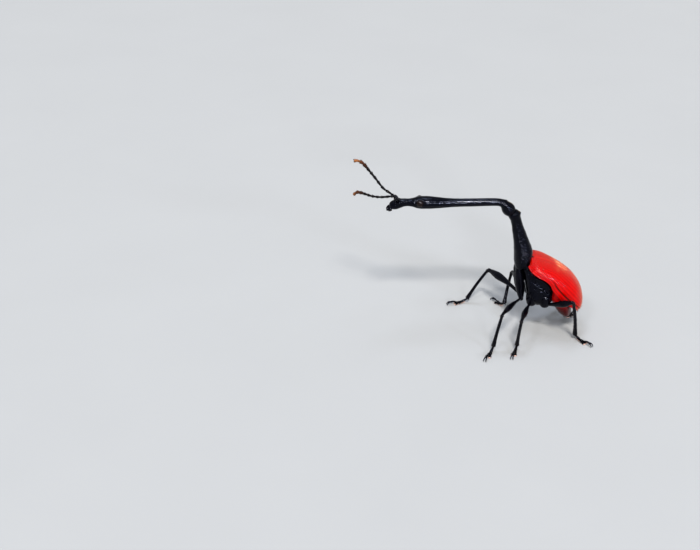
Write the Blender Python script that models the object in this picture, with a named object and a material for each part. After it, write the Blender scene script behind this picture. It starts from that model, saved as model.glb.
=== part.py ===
"""A male giraffe weevil, life size, standing on six feet with its neck raised and its head held level.

The animal faces -X, its left side faces -Y, +Z is up, and its feet stand on the plane z = 0. Sizes are in
millimetres and become metres as each mesh is made. Every body part is a closed solid of its own. The
parts of the trunk and of the head are lofts: smooth surfaces through a few cross-sections. The
legs and feelers are tubes whose radius changes along their length.
"""

import math

import bmesh
import bpy
from mathutils import Matrix, Vector

# Driving sizes, in millimetres
MM = 0.001
GAP = 0.3  # left between large neighbouring parts
FINE_GAP = 0.1  # left round the eyes, jaws and feelers, which are themselves only about 0.5 thick
THIN = 0.25  # least radius of a leg or feeler
STAND = (4.15, 0.46)  # shift that brings the middle of the outline seen from above over the origin
HEAD_LEVEL = 11.62  # height of the long axis of the head above the floor
NECK_CUT_X = -6.3
WING_CASE = 0.5  # thickness of a wing case
BACK_START = (0.75, 6.7)  # x and z where the wing cases begin, behind the neck shield
BACK_SLOPE = math.radians(48.9)  # the back runs down towards the tail at this angle
LEFT, RIGHT = -1, 1

# The head, from the tip of the snout back to the cut behind the cheeks. Each row is one
# cross-section: x, z, tilt in degrees, half depth, half width
SNOUT_AND_CHEEKS = [
    (-10.98, 11.30, 115, 0.20, 0.26),
    (-10.86, 11.35, 113, 0.33, 0.38),
    (-10.60, 11.44, 108, 0.39, 0.43),
    (-10.25, 11.55, 100, 0.38, 0.41),
    (-9.90, HEAD_LEVEL - 0.01, 92, 0.33, 0.35),
    (-9.55, HEAD_LEVEL, 90, 0.31, 0.34),
    (-9.20, HEAD_LEVEL, 90, 0.36, 0.40),
    (-8.85, HEAD_LEVEL, 90, 0.46, 0.53),
    (-8.45, HEAD_LEVEL, 90, 0.51, 0.58),
    (-7.90, HEAD_LEVEL, 90, 0.51, 0.56),
    (-7.30, HEAD_LEVEL - 0.02, 90, 0.47, 0.50),
    (NECK_CUT_X - GAP / 2, HEAD_LEVEL - 0.03, 90, 0.385, 0.42),
]
# The thin back of the head and the ball at its end
NECK = [
    (NECK_CUT_X + GAP / 2, HEAD_LEVEL - 0.03, 90, 0.365, 0.40),
    (-5.50, HEAD_LEVEL - 0.02, 90, 0.34, 0.36),
    (-4.30, HEAD_LEVEL, 90, 0.33, 0.34),
    (-3.10, HEAD_LEVEL + 0.03, 90, 0.32, 0.33),
    (-2.35, HEAD_LEVEL + 0.03, 88, 0.31, 0.33),
    (-2.00, HEAD_LEVEL - 0.04, 74, 0.32, 0.35),
    (-1.78, HEAD_LEVEL - 0.20, 56, 0.38, 0.40),
    (-1.58, HEAD_LEVEL - 0.40, 46, 0.51, 0.50),
    (-1.42, HEAD_LEVEL - 0.57, 42, 0.55, 0.54),
    (-1.29, HEAD_LEVEL - 0.70, 38, 0.48, 0.50),
    (-1.22, HEAD_LEVEL - 0.79, 36, 0.32, 0.36),
]
# The neck shield, from its collar down to the shoulders
SHIELD = [
    (-1.02, 10.60, 34, 0.42, 0.43),
    (-0.96, 10.50, 32, 0.53, 0.53),
    (-0.89, 10.37, 30, 0.54, 0.54),
    (-0.83, 10.24, 25, 0.46, 0.47),
    (-0.75, 10.05, 18, 0.43, 0.44),
    (-0.62, 9.60, 12, 0.45, 0.46),
    (-0.46, 9.00, 11, 0.52, 0.54),
    (-0.24, 8.20, 11, 0.62, 0.67),
    (-0.07, 7.50, 14, 0.73, 0.82),
    (0.00, 7.05, 20, 0.80, 0.93),
    (0.04, 6.70, 29, 0.86, 1.01),
    (0.07, 6.45, 38, 0.91, 1.04),
    (0.08, 6.28, 46, 0.92, 1.02),
]
# The chest under the wing cases: x and z of the top, x and z of the keel, half width, and how
# far up the widest level lies, from 0 at the keel to 1 at the top
CHEST = [
    (0.40, 6.10, 0.12, 5.80, 0.80, 0.50),
    (0.86, 6.00, 0.30, 5.25, 1.06, 0.50),
    (1.28, 5.90, 0.44, 4.60, 1.34, 0.46),
    (1.62, 5.74, 0.56, 3.85, 1.56, 0.40),
    (1.92, 5.60, 0.72, 3.10, 1.68, 0.38),
    (2.12, 5.50, 1.05, 2.70, 1.70, 0.38),
    (2.24, 5.40, 1.55, 2.60, 1.66, 0.38),
    (2.34, 5.25, 2.05, 2.68, 1.58, 0.38),
    (2.38, 5.05, 2.36, 2.95, 1.42, 0.40),
]
# The hind body, in the same form
HIND_BODY = [
    (2.72, 4.90, 2.68, 2.75, 1.22, 0.40),
    (3.12, 4.78, 2.82, 2.22, 1.38, 0.38),
    (3.46, 4.48, 3.06, 1.85, 1.42, 0.38),
    (3.74, 4.08, 3.32, 1.60, 1.38, 0.38),
    (3.95, 3.62, 3.57, 1.40, 1.27, 0.38),
    (4.07, 3.14, 3.80, 1.28, 1.08, 0.40),
    (4.12, 2.68, 4.03, 1.27, 0.86, 0.44),
    (4.16, 2.32, 4.20, 1.42, 0.60, 0.50),
    (4.20, 2.04, 4.26, 1.72, 0.30, 0.50),
]
# The wing cases: distance along the back, height of the back, level of the side ridge, half width,
# squareness of the section, level of the lower edge
WING_CASES = [
    (0.12, 0.04, -0.28, 1.44, 2.3, -0.50),
    (0.36, 0.30, -0.20, 1.80, 2.4, -0.50),
    (0.90, 0.66, -0.06, 2.04, 2.35, -0.44),
    (1.60, 1.02, 0.10, 2.10, 2.2, -0.28),
    (2.50, 1.34, 0.26, 2.13, 2.1, -0.10),
    (3.40, 1.51, 0.35, 2.14, 2.1, 0.04),
    (4.30, 1.49, 0.38, 2.08, 2.1, 0.08),
    (5.00, 1.29, 0.34, 1.88, 2.0, 0.08),
    (5.60, 0.95, 0.26, 1.52, 2.0, 0.04),
    (6.00, 0.59, 0.18, 1.08, 2.0, 0.00),
    (6.22, 0.34, 0.10, 0.66, 2.0, -0.05),
]

# The eyes, jaws and feelers
EYE_CENTRE = (-8.62, 0.50, HEAD_LEVEL + 0.10)
EYE_RADII = (0.31, 0.20, 0.31)
JAW_LINE = [(-11.02, 0.27, 11.20), (-11.18, 0.27, 11.12), (-11.32, 0.17, 11.03)]
JAW_RADII = [0.16, 0.15, 0.08]
FEELER_LINES = {
    "feeler_left": [
        (-10.44, -0.32, 11.98),
        (-10.72, -0.48, 12.32),
        (-10.98, -0.60, 12.69),
        (-11.64, -0.90, 13.32),
        (-12.21, -1.15, 14.22),
        (-12.77, -1.35, 15.05),
        (-13.25, -1.50, 15.72),
        (-13.69, -1.60, 16.02),
        (-14.08, -1.65, 16.02),
    ],
    "feeler_right": [
        (-10.44, 0.32, 11.98),
        (-10.70, 0.72, 11.96),
        (-11.05, 1.04, 11.66),
        (-11.79, 1.65, 11.32),
        (-12.54, 2.35, 11.10),
        (-13.26, 3.00, 11.06),
        (-13.70, 3.40, 10.94),
        (-13.96, 3.65, 10.62),
    ],
}
FEELER_JOINTS = 11

# The legs: the end of the hip, the knee, the end of the shin and the claw, for each leg
LEG_JOINTS = {
    "leg_front_left": [(0.00, -0.48, 3.00), (-1.92, -4.31, 3.61), (-2.50, -4.02, 0.46), (-3.36, -5.87, 0.0)],
    "leg_front_right": [(-0.05, 0.48, 3.00), (-2.38, 4.12, 3.29), (-4.10, 4.14, 0.46), (-5.92, 3.68, 0.0)],
    "leg_middle_left": [(0.72, -1.05, 2.94), (-0.38, -4.66, 3.24), (-0.55, -3.84, 0.46), (-1.12, -5.52, 0.0)],
    "leg_middle_right": [(0.72, 1.05, 2.94), (-0.27, 4.73, 2.78), (-0.94, 3.26, 0.46), (-1.98, 4.68, 0.0)],
    "leg_hind_left": [(1.85, -1.30, 2.90), (3.92, -3.32, 4.18), (4.46, -2.08, 0.46), (5.75, -3.53, 0.0)],
    "leg_hind_right": [(1.85, 1.30, 2.90), (4.02, 3.60, 3.12), (4.07, 1.10, 0.46), (5.28, 2.58, 0.0)],
}
FRONT_HIP_TOP = (-0.36, 0.50, 5.40)
FRONT_HIP_RADII = [0.30, 0.36, 0.35, 0.28, THIN]
HIP_BALL = 0.37  # radius of the hip of a middle or hind leg, sunk in the chest
THIGH_RADII = [0.25, 0.25, 0.26, 0.29, 0.33, 0.34, 0.30, 0.26]
SHIN_RADII = [0.26, 0.25, 0.25, 0.25, 0.26, 0.29]
FOOT_RADIUS = 0.27
CLAW_TIP = 0.08

# Colours of the real animal: red, green, blue, roughness
COLOURS = {
    "black_shell": (0.012, 0.012, 0.018, 0.22),
    "red_shell": (0.72, 0.008, 0.010, 0.18),
    "dark_red_shell": (0.36, 0.010, 0.008, 0.30),
    "eye_brown": (0.060, 0.018, 0.010, 0.10),
}


def clear_scene():
    for obj in list(bpy.data.objects):
        bpy.data.objects.remove(obj, do_unlink=True)


def new_collection(name):
    collection = bpy.data.collections.new(name)
    bpy.context.scene.collection.children.link(collection)
    return collection


def shell_material(name):
    """A glossy Principled material in one of the animal's colours."""
    red, green, blue, roughness = COLOURS[name]
    material = bpy.data.materials.new(name)
    material.use_nodes = True
    shader = material.node_tree.nodes["Principled BSDF"]
    shader.inputs["Base Color"].default_value = (red, green, blue, 1.0)
    shader.inputs["Roughness"].default_value = roughness
    shader.inputs["Metallic"].default_value = 0.0
    return material


def smooth_rows(rows, steps):
    """Rows of numbers with a Catmull-Rom curve drawn through them, steps rows to each span."""
    drawn = []
    last = len(rows) - 1
    for i in range(last):
        before, start, end, after = (rows[min(max(k, 0), last)] for k in (i - 1, i, i + 1, i + 2))
        for step in range(steps):
            t = step / steps
            drawn.append(
                tuple(
                    0.5 * (2 * b + (c - a) * t + (2 * a - 5 * b + 4 * c - d) * t**2 + (3 * b - a - 3 * c + d) * t**3)
                    for a, b, c, d in zip(before, start, end, after)
                )
            )
    drawn.append(tuple(rows[-1]))
    return drawn


def power(value, exponent):
    """value to a power, keeping its sign."""
    return math.copysign(abs(value) ** exponent, value)


def section(top, keel, width, level, square, sides):
    """Points round a closed cross-section between two points of the middle plane, in millimetres."""
    top, keel = Vector((top[0], 0, top[1])), Vector((keel[0], 0, keel[1]))
    middle = keel.lerp(top, level)
    points = []
    for i in range(sides):
        turn = 2 * math.pi * i / sides
        rise = power(math.cos(turn), 2 / square)
        out = power(math.sin(turn), 2 / square)
        reach = (top - middle) if rise > 0 else (middle - keel)
        points.append(middle + reach * rise + Vector((0, width * out, 0)))
    return points


def loft(name, sections):
    """A closed mesh object through cross-sections that all have the same number of points."""
    bm = bmesh.new()
    rings = [[bm.verts.new(point * MM) for point in ring] for ring in sections]
    sides = len(rings[0])
    for ring, following in zip(rings, rings[1:]):
        for i in range(sides):
            j = (i + 1) % sides
            bm.faces.new((ring[i], ring[j], following[j], following[i]))
    bm.faces.new(reversed(rings[0]))
    bm.faces.new(rings[-1])
    bmesh.ops.recalc_face_normals(bm, faces=bm.faces)
    mesh = bpy.data.meshes.new(name)
    bm.to_mesh(mesh)
    bm.free()
    return add_mesh(name, mesh)


def add_mesh(name, mesh):
    obj = bpy.data.objects.new(name, mesh)
    workshop.objects.link(obj)
    return obj


def round_loft(name, rows, sides, steps):
    """A loft whose rows give x, z, tilt, half depth and half width of an oval section."""
    sections = []
    for x, z, tilt, depth, width in smooth_rows(rows, steps):
        reach = (depth * math.cos(math.radians(tilt)), depth * math.sin(math.radians(tilt)))
        sections.append(section((x + reach[0], z + reach[1]), (x - reach[0], z - reach[1]), width, 0.5, 2, sides))
    return loft(name, sections)


def trunk_loft(name, rows, sides, steps):
    """A loft whose rows give the top, the keel, the half width and the widest level."""
    sections = [
        section((top_x, top_z), (keel_x, keel_z), width, level, 2.2, sides)
        for top_x, top_z, keel_x, keel_z, width, level in smooth_rows(rows, steps)
    ]
    return loft(name, sections)


def on_back(along, height):
    """x and z of a point given along the sloping back and at right angles to it."""
    cos, sin = math.cos(BACK_SLOPE), math.sin(BACK_SLOPE)
    return (BACK_START[0] + along * cos + height * sin, BACK_START[1] - along * sin + height * cos)


def tube(name, points, radii):
    """A closed mesh tube along points, in millimetres, with a radius at each point."""
    curve = bpy.data.curves.new(name, "CURVE")
    curve.dimensions = "3D"
    curve.bevel_depth = MM
    curve.bevel_resolution = 2
    curve.use_fill_caps = True
    spline = curve.splines.new("POLY")
    spline.points.add(len(points) - 1)
    for spot, point, radius in zip(spline.points, points, radii):
        spot.co = (*(Vector(point) * MM), 1.0)
        spot.radius = radius
    drawn = bpy.data.objects.new(name + "_line", curve)
    workshop.objects.link(drawn)
    bpy.context.view_layer.update()
    graph = bpy.context.evaluated_depsgraph_get()
    mesh = bpy.data.meshes.new_from_object(drawn.evaluated_get(graph))
    mesh.materials.clear()
    bm = bmesh.new()
    bm.from_mesh(mesh)
    bmesh.ops.remove_doubles(bm, verts=bm.verts, dist=0.001 * MM)
    bmesh.ops.recalc_face_normals(bm, faces=bm.faces)
    bm.to_mesh(mesh)
    bm.free()
    made = add_mesh(name, mesh)
    made.matrix_world = drawn.matrix_world
    bpy.data.objects.remove(drawn)
    return made


def ball(name, centre, radii, segments=16, rings=10):
    """A closed oval ball with the three given radii, in millimetres."""
    bm = bmesh.new()
    matrix = Matrix.Translation(Vector(centre) * MM) @ Matrix.Diagonal((*(Vector(radii) * MM), 1.0))
    bmesh.ops.create_uvsphere(bm, u_segments=segments, v_segments=rings, radius=1.0, matrix=matrix)
    mesh = bpy.data.meshes.new(name)
    bm.to_mesh(mesh)
    bm.free()
    return add_mesh(name, mesh)


def box(name, low, high):
    """A closed box between two corners, in millimetres."""
    low, high = Vector(low) * MM, Vector(high) * MM
    bm = bmesh.new()
    matrix = Matrix.Translation((low + high) / 2) @ Matrix.Diagonal((*(high - low), 1.0))
    bmesh.ops.create_cube(bm, size=1.0, matrix=matrix)
    mesh = bpy.data.meshes.new(name)
    bm.to_mesh(mesh)
    bm.free()
    return add_mesh(name, mesh)


def keep_largest(mesh):
    """Deletes every loose scrap that a Boolean left, so that one closed surface stays."""
    bm = bmesh.new()
    bm.from_mesh(mesh)
    left, groups = set(bm.verts), []
    while left:
        group, front = set(), [left.pop()]
        while front:
            vert = front.pop()
            group.add(vert)
            for edge in vert.link_edges:
                other = edge.other_vert(vert)
                if other in left:
                    left.remove(other)
                    front.append(other)
        groups.append(group)
    largest = max(groups, key=len)
    bmesh.ops.delete(bm, geom=[v for v in bm.verts if v not in largest], context="VERTS")
    bm.to_mesh(mesh)
    bm.free()


def combine(base, others, operation):
    """Joins the others to base, or cuts them from it, with one Boolean, and removes them."""
    tools = bpy.data.collections.new(base.name + "_tools")
    bpy.context.scene.collection.children.link(tools)
    for other in others:
        tools.objects.link(other)
        workshop.objects.unlink(other)
    boolean = base.modifiers.new(operation.title(), "BOOLEAN")
    boolean.operation = operation
    boolean.operand_type = "COLLECTION"
    boolean.collection = tools
    boolean.solver = "EXACT"
    bpy.context.view_layer.update()
    graph = bpy.context.evaluated_depsgraph_get()
    made = bpy.data.meshes.new_from_object(base.evaluated_get(graph))
    keep_largest(made)
    base.modifiers.clear()
    base.data = made
    for other in others:
        bpy.data.objects.remove(other)
    bpy.data.collections.remove(tools)
    return base


def finish(obj, material, angle=40):
    """Gives a finished part its material, smooth shading and place under the stand."""
    obj.data.materials.clear()
    obj.data.materials.append(materials[material])
    obj.data.shade_smooth()
    obj.data.set_sharp_from_angle(angle=math.radians(angle))
    workshop.objects.unlink(obj)
    weevil.objects.link(obj)
    obj.parent = stand
    return obj


def mirrored(points, side):
    """The points with their y taken to one side of the middle plane."""
    return [(x, abs(y) * side, z) for x, y, z in points]


def make_head():
    """Snout, cheeks and the sockets of the eyes, jaws and feelers."""
    head = round_loft("head", SNOUT_AND_CHEEKS, sides=18, steps=3)
    sockets = []
    for side in (LEFT, RIGHT):
        centre = mirrored([EYE_CENTRE], side)[0]
        sockets.append(ball("eye_socket", centre, [radius + FINE_GAP for radius in EYE_RADII]))
        root = mirrored([FEELER_LINES["feeler_left"][0]], side)[0]
        sockets.append(ball("feeler_socket", root, [THIN + FINE_GAP] * 3))
    return finish(combine(head, sockets, "DIFFERENCE"), "black_shell")


def make_neck():
    return finish(round_loft("neck", NECK, sides=18, steps=3), "black_shell")


def make_eye(side, name):
    eye = ball(name, mirrored([EYE_CENTRE], side)[0], EYE_RADII, segments=20, rings=12)
    return finish(eye, "eye_brown")


def make_jaw(side, name):
    """One mandible, a short hooked cone in front of the snout."""
    line = smooth_rows(mirrored(JAW_LINE, side), 3)
    radii = [row[0] for row in smooth_rows([(radius,) for radius in JAW_RADII], 3)]
    return finish(tube(name, line, radii), "black_shell")


def make_feeler(name):
    """A feeler of eleven joints, each a little wider at its far end, and the last three a club."""
    line = smooth_rows(FEELER_LINES[name], 12)
    per_joint = 3
    count = FEELER_JOINTS * per_joint
    points, radii = [], []
    for i in range(count + 1):
        place = i / count * (len(line) - 1)
        low = min(int(place), len(line) - 2)
        points.append(Vector(line[low]).lerp(Vector(line[low + 1]), place - low))
        joint, phase = divmod(i, per_joint)
        swell = 0.03 if phase == per_joint - 1 else 0.0
        club = 0.02 if joint >= FEELER_JOINTS - 3 else 0.0
        radii.append(THIN + swell + club)
    radii[-1] = 0.10
    radii[-2] = 0.20
    return finish(tube(name, points, radii), "black_shell")


def make_shield():
    """The neck shield, a long cone with a collar, under which the ball of the head sits."""
    return finish(round_loft("neck_shield", SHIELD, sides=20, steps=3), "black_shell")


def make_chest():
    """The chest, with a cavity for the hip of each middle and hind leg and a groove for its thigh."""
    chest = trunk_loft("chest", CHEST, sides=22, steps=2)
    cavities = []
    for name, (hip, knee, _, _) in LEG_JOINTS.items():
        if "front" in name:
            continue
        cavities.append(ball("hip_cavity", hip, [HIP_BALL + GAP] * 3))
        groove_end = Vector(hip).lerp(Vector(knee), 0.5)
        cavities.append(tube("thigh_groove", [hip, groove_end], [THIN + GAP] * 2))
    return finish(combine(chest, cavities, "DIFFERENCE"), "black_shell")


def make_hind_body():
    return finish(trunk_loft("hind_body", HIND_BODY, sides=22, steps=2), "dark_red_shell")


def wing_case_loft(name, shrink, sides):
    """The domed body that both wing cases are cut from, or the smaller one that hollows them."""
    sections = []
    for along, back, ridge, width, square, _ in smooth_rows(WING_CASES, 3):
        if shrink:
            along = -0.4 + (along + 0.4) * (1 - shrink / WING_CASES[-1][0])
        top = on_back(along, back - shrink)
        keel = on_back(along, ridge - 2.0)
        level = 2.0 / (back - shrink - ridge + 2.0)
        sections.append(section(top, keel, width - shrink, level, square, sides))
    return loft(name, sections)


def below_edge(name):
    """A wide prism that holds everything under the lower edge of the wing cases."""
    edge = [on_back(row[0], row[5]) for row in smooth_rows(WING_CASES, 2)]
    first, last = WING_CASES[0], WING_CASES[-1]
    edge = [on_back(first[0] - 2.0, first[5]), *edge, on_back(last[0] + 2.0, last[5])]
    floor = [on_back(first[0] - 2.0, -4.0), on_back(last[0] + 2.0, -4.0)]
    half = 4.0
    outline = [Vector((x, 0, z)) for x, z in [*edge, floor[1], floor[0]]]
    return loft(name, [[point + Vector((0, y, 0)) for point in outline] for y in (-half, half)])


def make_wing_case(side, name):
    """One hard red wing case: a domed shell, open below and split from its twin along the back."""
    case = wing_case_loft(name, 0.0, sides=28)
    reach = 4.0
    other_half = sorted((side * GAP / 2, -side * reach))
    cutters = [
        wing_case_loft("hollow", WING_CASE, sides=28),
        below_edge("lower_edge"),
        box("other_half", (-2, other_half[0], -1), (9, other_half[1], 10)),
    ]
    return finish(combine(case, cutters, "DIFFERENCE"), "red_shell")


def along_line(start, end, count, bow):
    """Evenly spaced points from start to end, bowed upwards by a share of the length."""
    start, end = Vector(start), Vector(end)
    lift = Vector((0, 0, bow * (end - start).length))
    return [
        start.lerp(end, i / (count - 1)) + lift * math.sin(math.pi * i / (count - 1))
        for i in range(count)
    ]


def foot_pieces(ankle, claw):
    """The joints of the foot and the claw, as tubes that run into each other."""
    ankle, claw = Vector(ankle), Vector(claw)
    run = claw - ankle
    run.z = 0
    pad = ankle + run * 0.42
    pad.z = FOOT_RADIUS * 0.75
    ball_of_foot = ankle + run * 0.62
    ball_of_foot.z = FOOT_RADIUS * 0.75
    arch = ankle + run * 0.80
    arch.z = FOOT_RADIUS * 1.25
    tip = ankle + run
    tip.z = CLAW_TIP
    pads = tube("foot", [ankle, ankle.lerp(pad, 0.5), pad, ball_of_foot], [THIN, THIN, FOOT_RADIUS * 1.1, FOOT_RADIUS])
    hook = tube("claw", [pad.lerp(ball_of_foot, 0.5), arch, arch.lerp(tip, 0.55), tip], [THIN, THIN, 0.17, CLAW_TIP])
    return [pads, hook]


def hip_pieces(name, joints, side):
    """The long hip of a front leg, or the ball-shaped hip of the others."""
    hip_end = Vector(joints[0])
    if "front" not in name:
        return [ball("hip", hip_end, [HIP_BALL] * 3)]
    top = Vector((FRONT_HIP_TOP[0], FRONT_HIP_TOP[1] * side, FRONT_HIP_TOP[2]))
    count = len(FRONT_HIP_RADII)
    line = [top.lerp(hip_end, i / (count - 1)) for i in range(count)]
    return [tube("hip", line, FRONT_HIP_RADII), ball("hip_end", hip_end, [THIN * 1.15] * 3, 12, 8)]


def make_leg(name):
    """One leg: hip, thigh, shin, foot and claw, joined into one solid and flat where it stands."""
    joints = LEG_JOINTS[name]
    hip_end, knee, ankle, claw = joints
    side = LEFT if name.endswith("left") else RIGHT
    bow = -0.03 if "hind" in name else 0.03
    thigh = tube(name, along_line(hip_end, knee, len(THIGH_RADII), bow), THIGH_RADII)
    shin = tube("shin", along_line(knee, ankle, len(SHIN_RADII), 0.015), SHIN_RADII)
    pieces = [shin, ball("knee", knee, [THIN * 1.12] * 3, 12, 8), *hip_pieces(name, joints, side)]
    pieces += foot_pieces(ankle, claw)
    leg = combine(thigh, pieces, "UNION")
    floor = box("floor", (-20, -20, -5), (20, 20, 0))
    return finish(combine(leg, [floor], "DIFFERENCE"), "black_shell")


clear_scene()
weevil = new_collection("giraffe_weevil")
workshop = new_collection("workshop")
materials = {name: shell_material(name) for name in COLOURS}
stand = bpy.data.objects.new("stand_point", None)
stand.location = (STAND[0] * MM, STAND[1] * MM, 0.0)
weevil.objects.link(stand)

make_head()
make_neck()
make_shield()
make_chest()
make_hind_body()
for body_side, word in ((LEFT, "left"), (RIGHT, "right")):
    make_eye(body_side, "eye_" + word)
    make_jaw(body_side, "jaw_" + word)
    make_wing_case(body_side, "wing_case_" + word)
for feeler in FEELER_LINES:
    make_feeler(feeler)
for leg_name in LEG_JOINTS:
    make_leg(leg_name)
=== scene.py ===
# %% [markdown]
# # A giraffe weevil, dressed for its portrait
#
# This lesson takes the plain solids of a small beetle and dresses them as the living animal looks:
# a glossy black body with a very long neck, and two domed red wing cases. Sizes are in
# millimetres while we think about them, and become metres as each mesh is made.
#
# The plan is always the same. We write a few rows of numbers that describe cross-sections, draw a
# smooth curve through them, turn the curve into rings of points, and stretch a mesh over the rings.
# Then we carve the fine relief, such as pits and wrinkles, by moving the points along their normals.

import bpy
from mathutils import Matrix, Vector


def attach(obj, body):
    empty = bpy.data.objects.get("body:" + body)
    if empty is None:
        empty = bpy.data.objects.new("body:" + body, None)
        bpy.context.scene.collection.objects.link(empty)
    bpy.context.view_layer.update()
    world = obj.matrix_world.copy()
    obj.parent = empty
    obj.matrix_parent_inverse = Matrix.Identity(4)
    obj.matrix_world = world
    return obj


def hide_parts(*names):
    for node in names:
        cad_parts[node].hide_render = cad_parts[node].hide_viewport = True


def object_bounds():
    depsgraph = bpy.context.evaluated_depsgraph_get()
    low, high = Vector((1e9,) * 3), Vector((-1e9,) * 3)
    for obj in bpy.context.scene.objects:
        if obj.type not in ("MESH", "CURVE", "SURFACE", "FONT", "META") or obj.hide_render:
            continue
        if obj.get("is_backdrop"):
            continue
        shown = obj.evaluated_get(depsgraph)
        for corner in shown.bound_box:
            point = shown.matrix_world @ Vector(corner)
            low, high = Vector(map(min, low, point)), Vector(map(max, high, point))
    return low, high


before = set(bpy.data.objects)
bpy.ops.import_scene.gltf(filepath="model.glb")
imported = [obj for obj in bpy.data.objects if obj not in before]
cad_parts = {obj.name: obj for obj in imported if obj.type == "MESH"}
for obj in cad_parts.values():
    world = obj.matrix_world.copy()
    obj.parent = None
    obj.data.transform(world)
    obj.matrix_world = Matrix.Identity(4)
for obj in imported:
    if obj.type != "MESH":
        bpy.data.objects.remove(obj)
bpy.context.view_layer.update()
print("Solids loaded:", len(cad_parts))

# %% What we need from Blender and Python
import math

import bpy
import numpy as np
from mathutils import Vector

MM = 0.001
STAND = np.array([4.15, 0.46, 0.0])
LEFT, RIGHT = -1, 1
print("The animal stands", STAND, "mm from the point its measurements start at")

# %% [markdown]
# ## A smooth curve through a few rows
#
# A real beetle has no straight edges, yet we don't want to type hundreds of sections. A Catmull-Rom
# curve passes through every row we give and bends gently in between. Bezier curves would do the
# same, but they need handles as well, so the rows would be twice as long.


# %% Rows into many rows
def smooth_rows(rows, count):
    """count rows along a Catmull-Rom curve that passes through the given rows."""
    rows = np.array(rows, float)
    place = np.linspace(0, len(rows) - 1, count)
    i = np.minimum(place.astype(int), len(rows) - 2)
    t = (place - i)[:, None]
    a, b, c, d = (rows[np.clip(i + k, 0, len(rows) - 1)] for k in (-1, 0, 1, 2))
    return 0.5 * (2 * b + (c - a) * t + (2 * a - 5 * b + 4 * c - d) * t**2 + (3 * b - a - 3 * c + d) * t**3)


print("Three rows become", len(smooth_rows([(0, 0), (1, 2), (2, 0)], 9)))

# %% [markdown]
# ## From rings to a mesh
#
# Every body part of an insect is a stiff tube or bowl, so a net of four-sided faces over rings of
# points suits it. We work out all points and faces as arrays and hand them to Blender at once, which
# is far quicker than adding faces one at a time.


# %% A new piece and the faces between rings
def in_scene(points):
    """Points measured in millimetres from our own zero, in metres from the scene's."""
    return (points + STAND) * MM


def new_piece(name, points, faces):
    """A smooth-shaded mesh object from points in millimetres, riding on the one rigid body."""
    mesh = bpy.data.meshes.new(name)
    mesh.from_pydata(in_scene(points).tolist(), [], faces)
    mesh.validate()
    mesh.shade_smooth()
    piece = bpy.data.objects.new(name, mesh)
    bpy.context.scene.collection.objects.link(piece)
    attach(piece, "root")
    return piece


def ring_faces(count, sides, closed=True):
    """Quads between neighbouring rings, numbered ring by ring."""
    columns = sides if closed else sides - 1
    i, j = np.meshgrid(np.arange(count - 1), np.arange(columns), indexing="ij")
    k = (j + 1) % sides
    corners = [i * sides + j, i * sides + k, (i + 1) * sides + k, (i + 1) * sides + j]
    return np.stack(corners, -1).reshape(-1, 4)


print("Two rings of four points make", len(ring_faces(2, 4)), "faces")

# %% [markdown]
# ## Closed tubes
#
# A fan of triangles round a middle point closes each end of a tube. The rows of a tube may run
# either way, so its faces may look inwards. We add up the signed volume, and turn all faces round
# when it comes out negative. Blender can recalculate normals too, but only in edit mode.


# %% Rings into closed tubes
def tube_parts(rings):
    """Points and faces of a closed tube through rings, with its faces pointing outwards."""
    count, sides, _ = rings.shape
    points = np.concatenate([rings.reshape(-1, 3), [rings[0].mean(0), rings[-1].mean(0)]])
    faces = ring_faces(count, sides).tolist()
    for j in range(sides):
        k = (j + 1) % sides
        faces.append([count * sides, k, j])
        faces.append([count * sides + 1, (count - 1) * sides + j, (count - 1) * sides + k])
    quads = points[np.array(faces[: (count - 1) * sides])]
    volume = np.einsum("ij,ij->i", quads[:, 0], np.cross(quads[:, 1], quads[:, 2])).sum()
    volume += np.einsum("ij,ij->i", quads[:, 0], np.cross(quads[:, 2], quads[:, 3])).sum()
    if volume < 0:
        faces = [face[::-1] for face in faces]
    return points, faces


def tubes(name, ring_sets):
    """One piece made of several closed tubes."""
    points, faces, start = [], [], 0
    for rings in ring_sets:
        more_points, more_faces = tube_parts(np.asarray(rings))
        points.append(more_points)
        faces += [[v + start for v in face] for face in more_faces]
        start += len(more_points)
    return new_piece(name, np.concatenate(points), faces)


print("Faces of a closed tube of two square rings:", len(tube_parts(np.zeros((2, 4, 3)))[1]))

# %% [markdown]
# ## Relief: moving points along their normals
#
# Fine shape could be painted as bump in the material, but bump has no outline and is lost when the
# mesh is used elsewhere. So we displace real points. Each relief is a function that takes all the
# points and returns one height for each.


# %% Reading points and carving relief
def read_points(piece):
    """The points of a piece, in millimetres, and their normals."""
    count = len(piece.data.vertices)
    points, normals = np.empty(count * 3), np.empty(count * 3)
    piece.data.vertices.foreach_get("co", points)
    piece.data.vertex_normals.foreach_get("vector", normals)
    return points.reshape(-1, 3) / MM - STAND, normals.reshape(-1, 3)


def carve(piece, heights):
    """Moves each point along its normal by heights(points, normals), in millimetres."""
    points, normals = read_points(piece)
    moved = points + normals * heights(points, normals)[:, None]
    piece.data.vertices.foreach_set("co", in_scene(moved).ravel())
    piece.data.update()
    return piece


print("Relief is carved along the normals")

# %% [markdown]
# ## Repeatable randomness
#
# Nature's pits and wrinkles look random, but a script should give the same animal each time. We
# number the cells of an invisible grid and scramble each number into a random-looking value. From
# these values come soft clouds, and scattered pits where each cell holds one pit.


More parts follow.
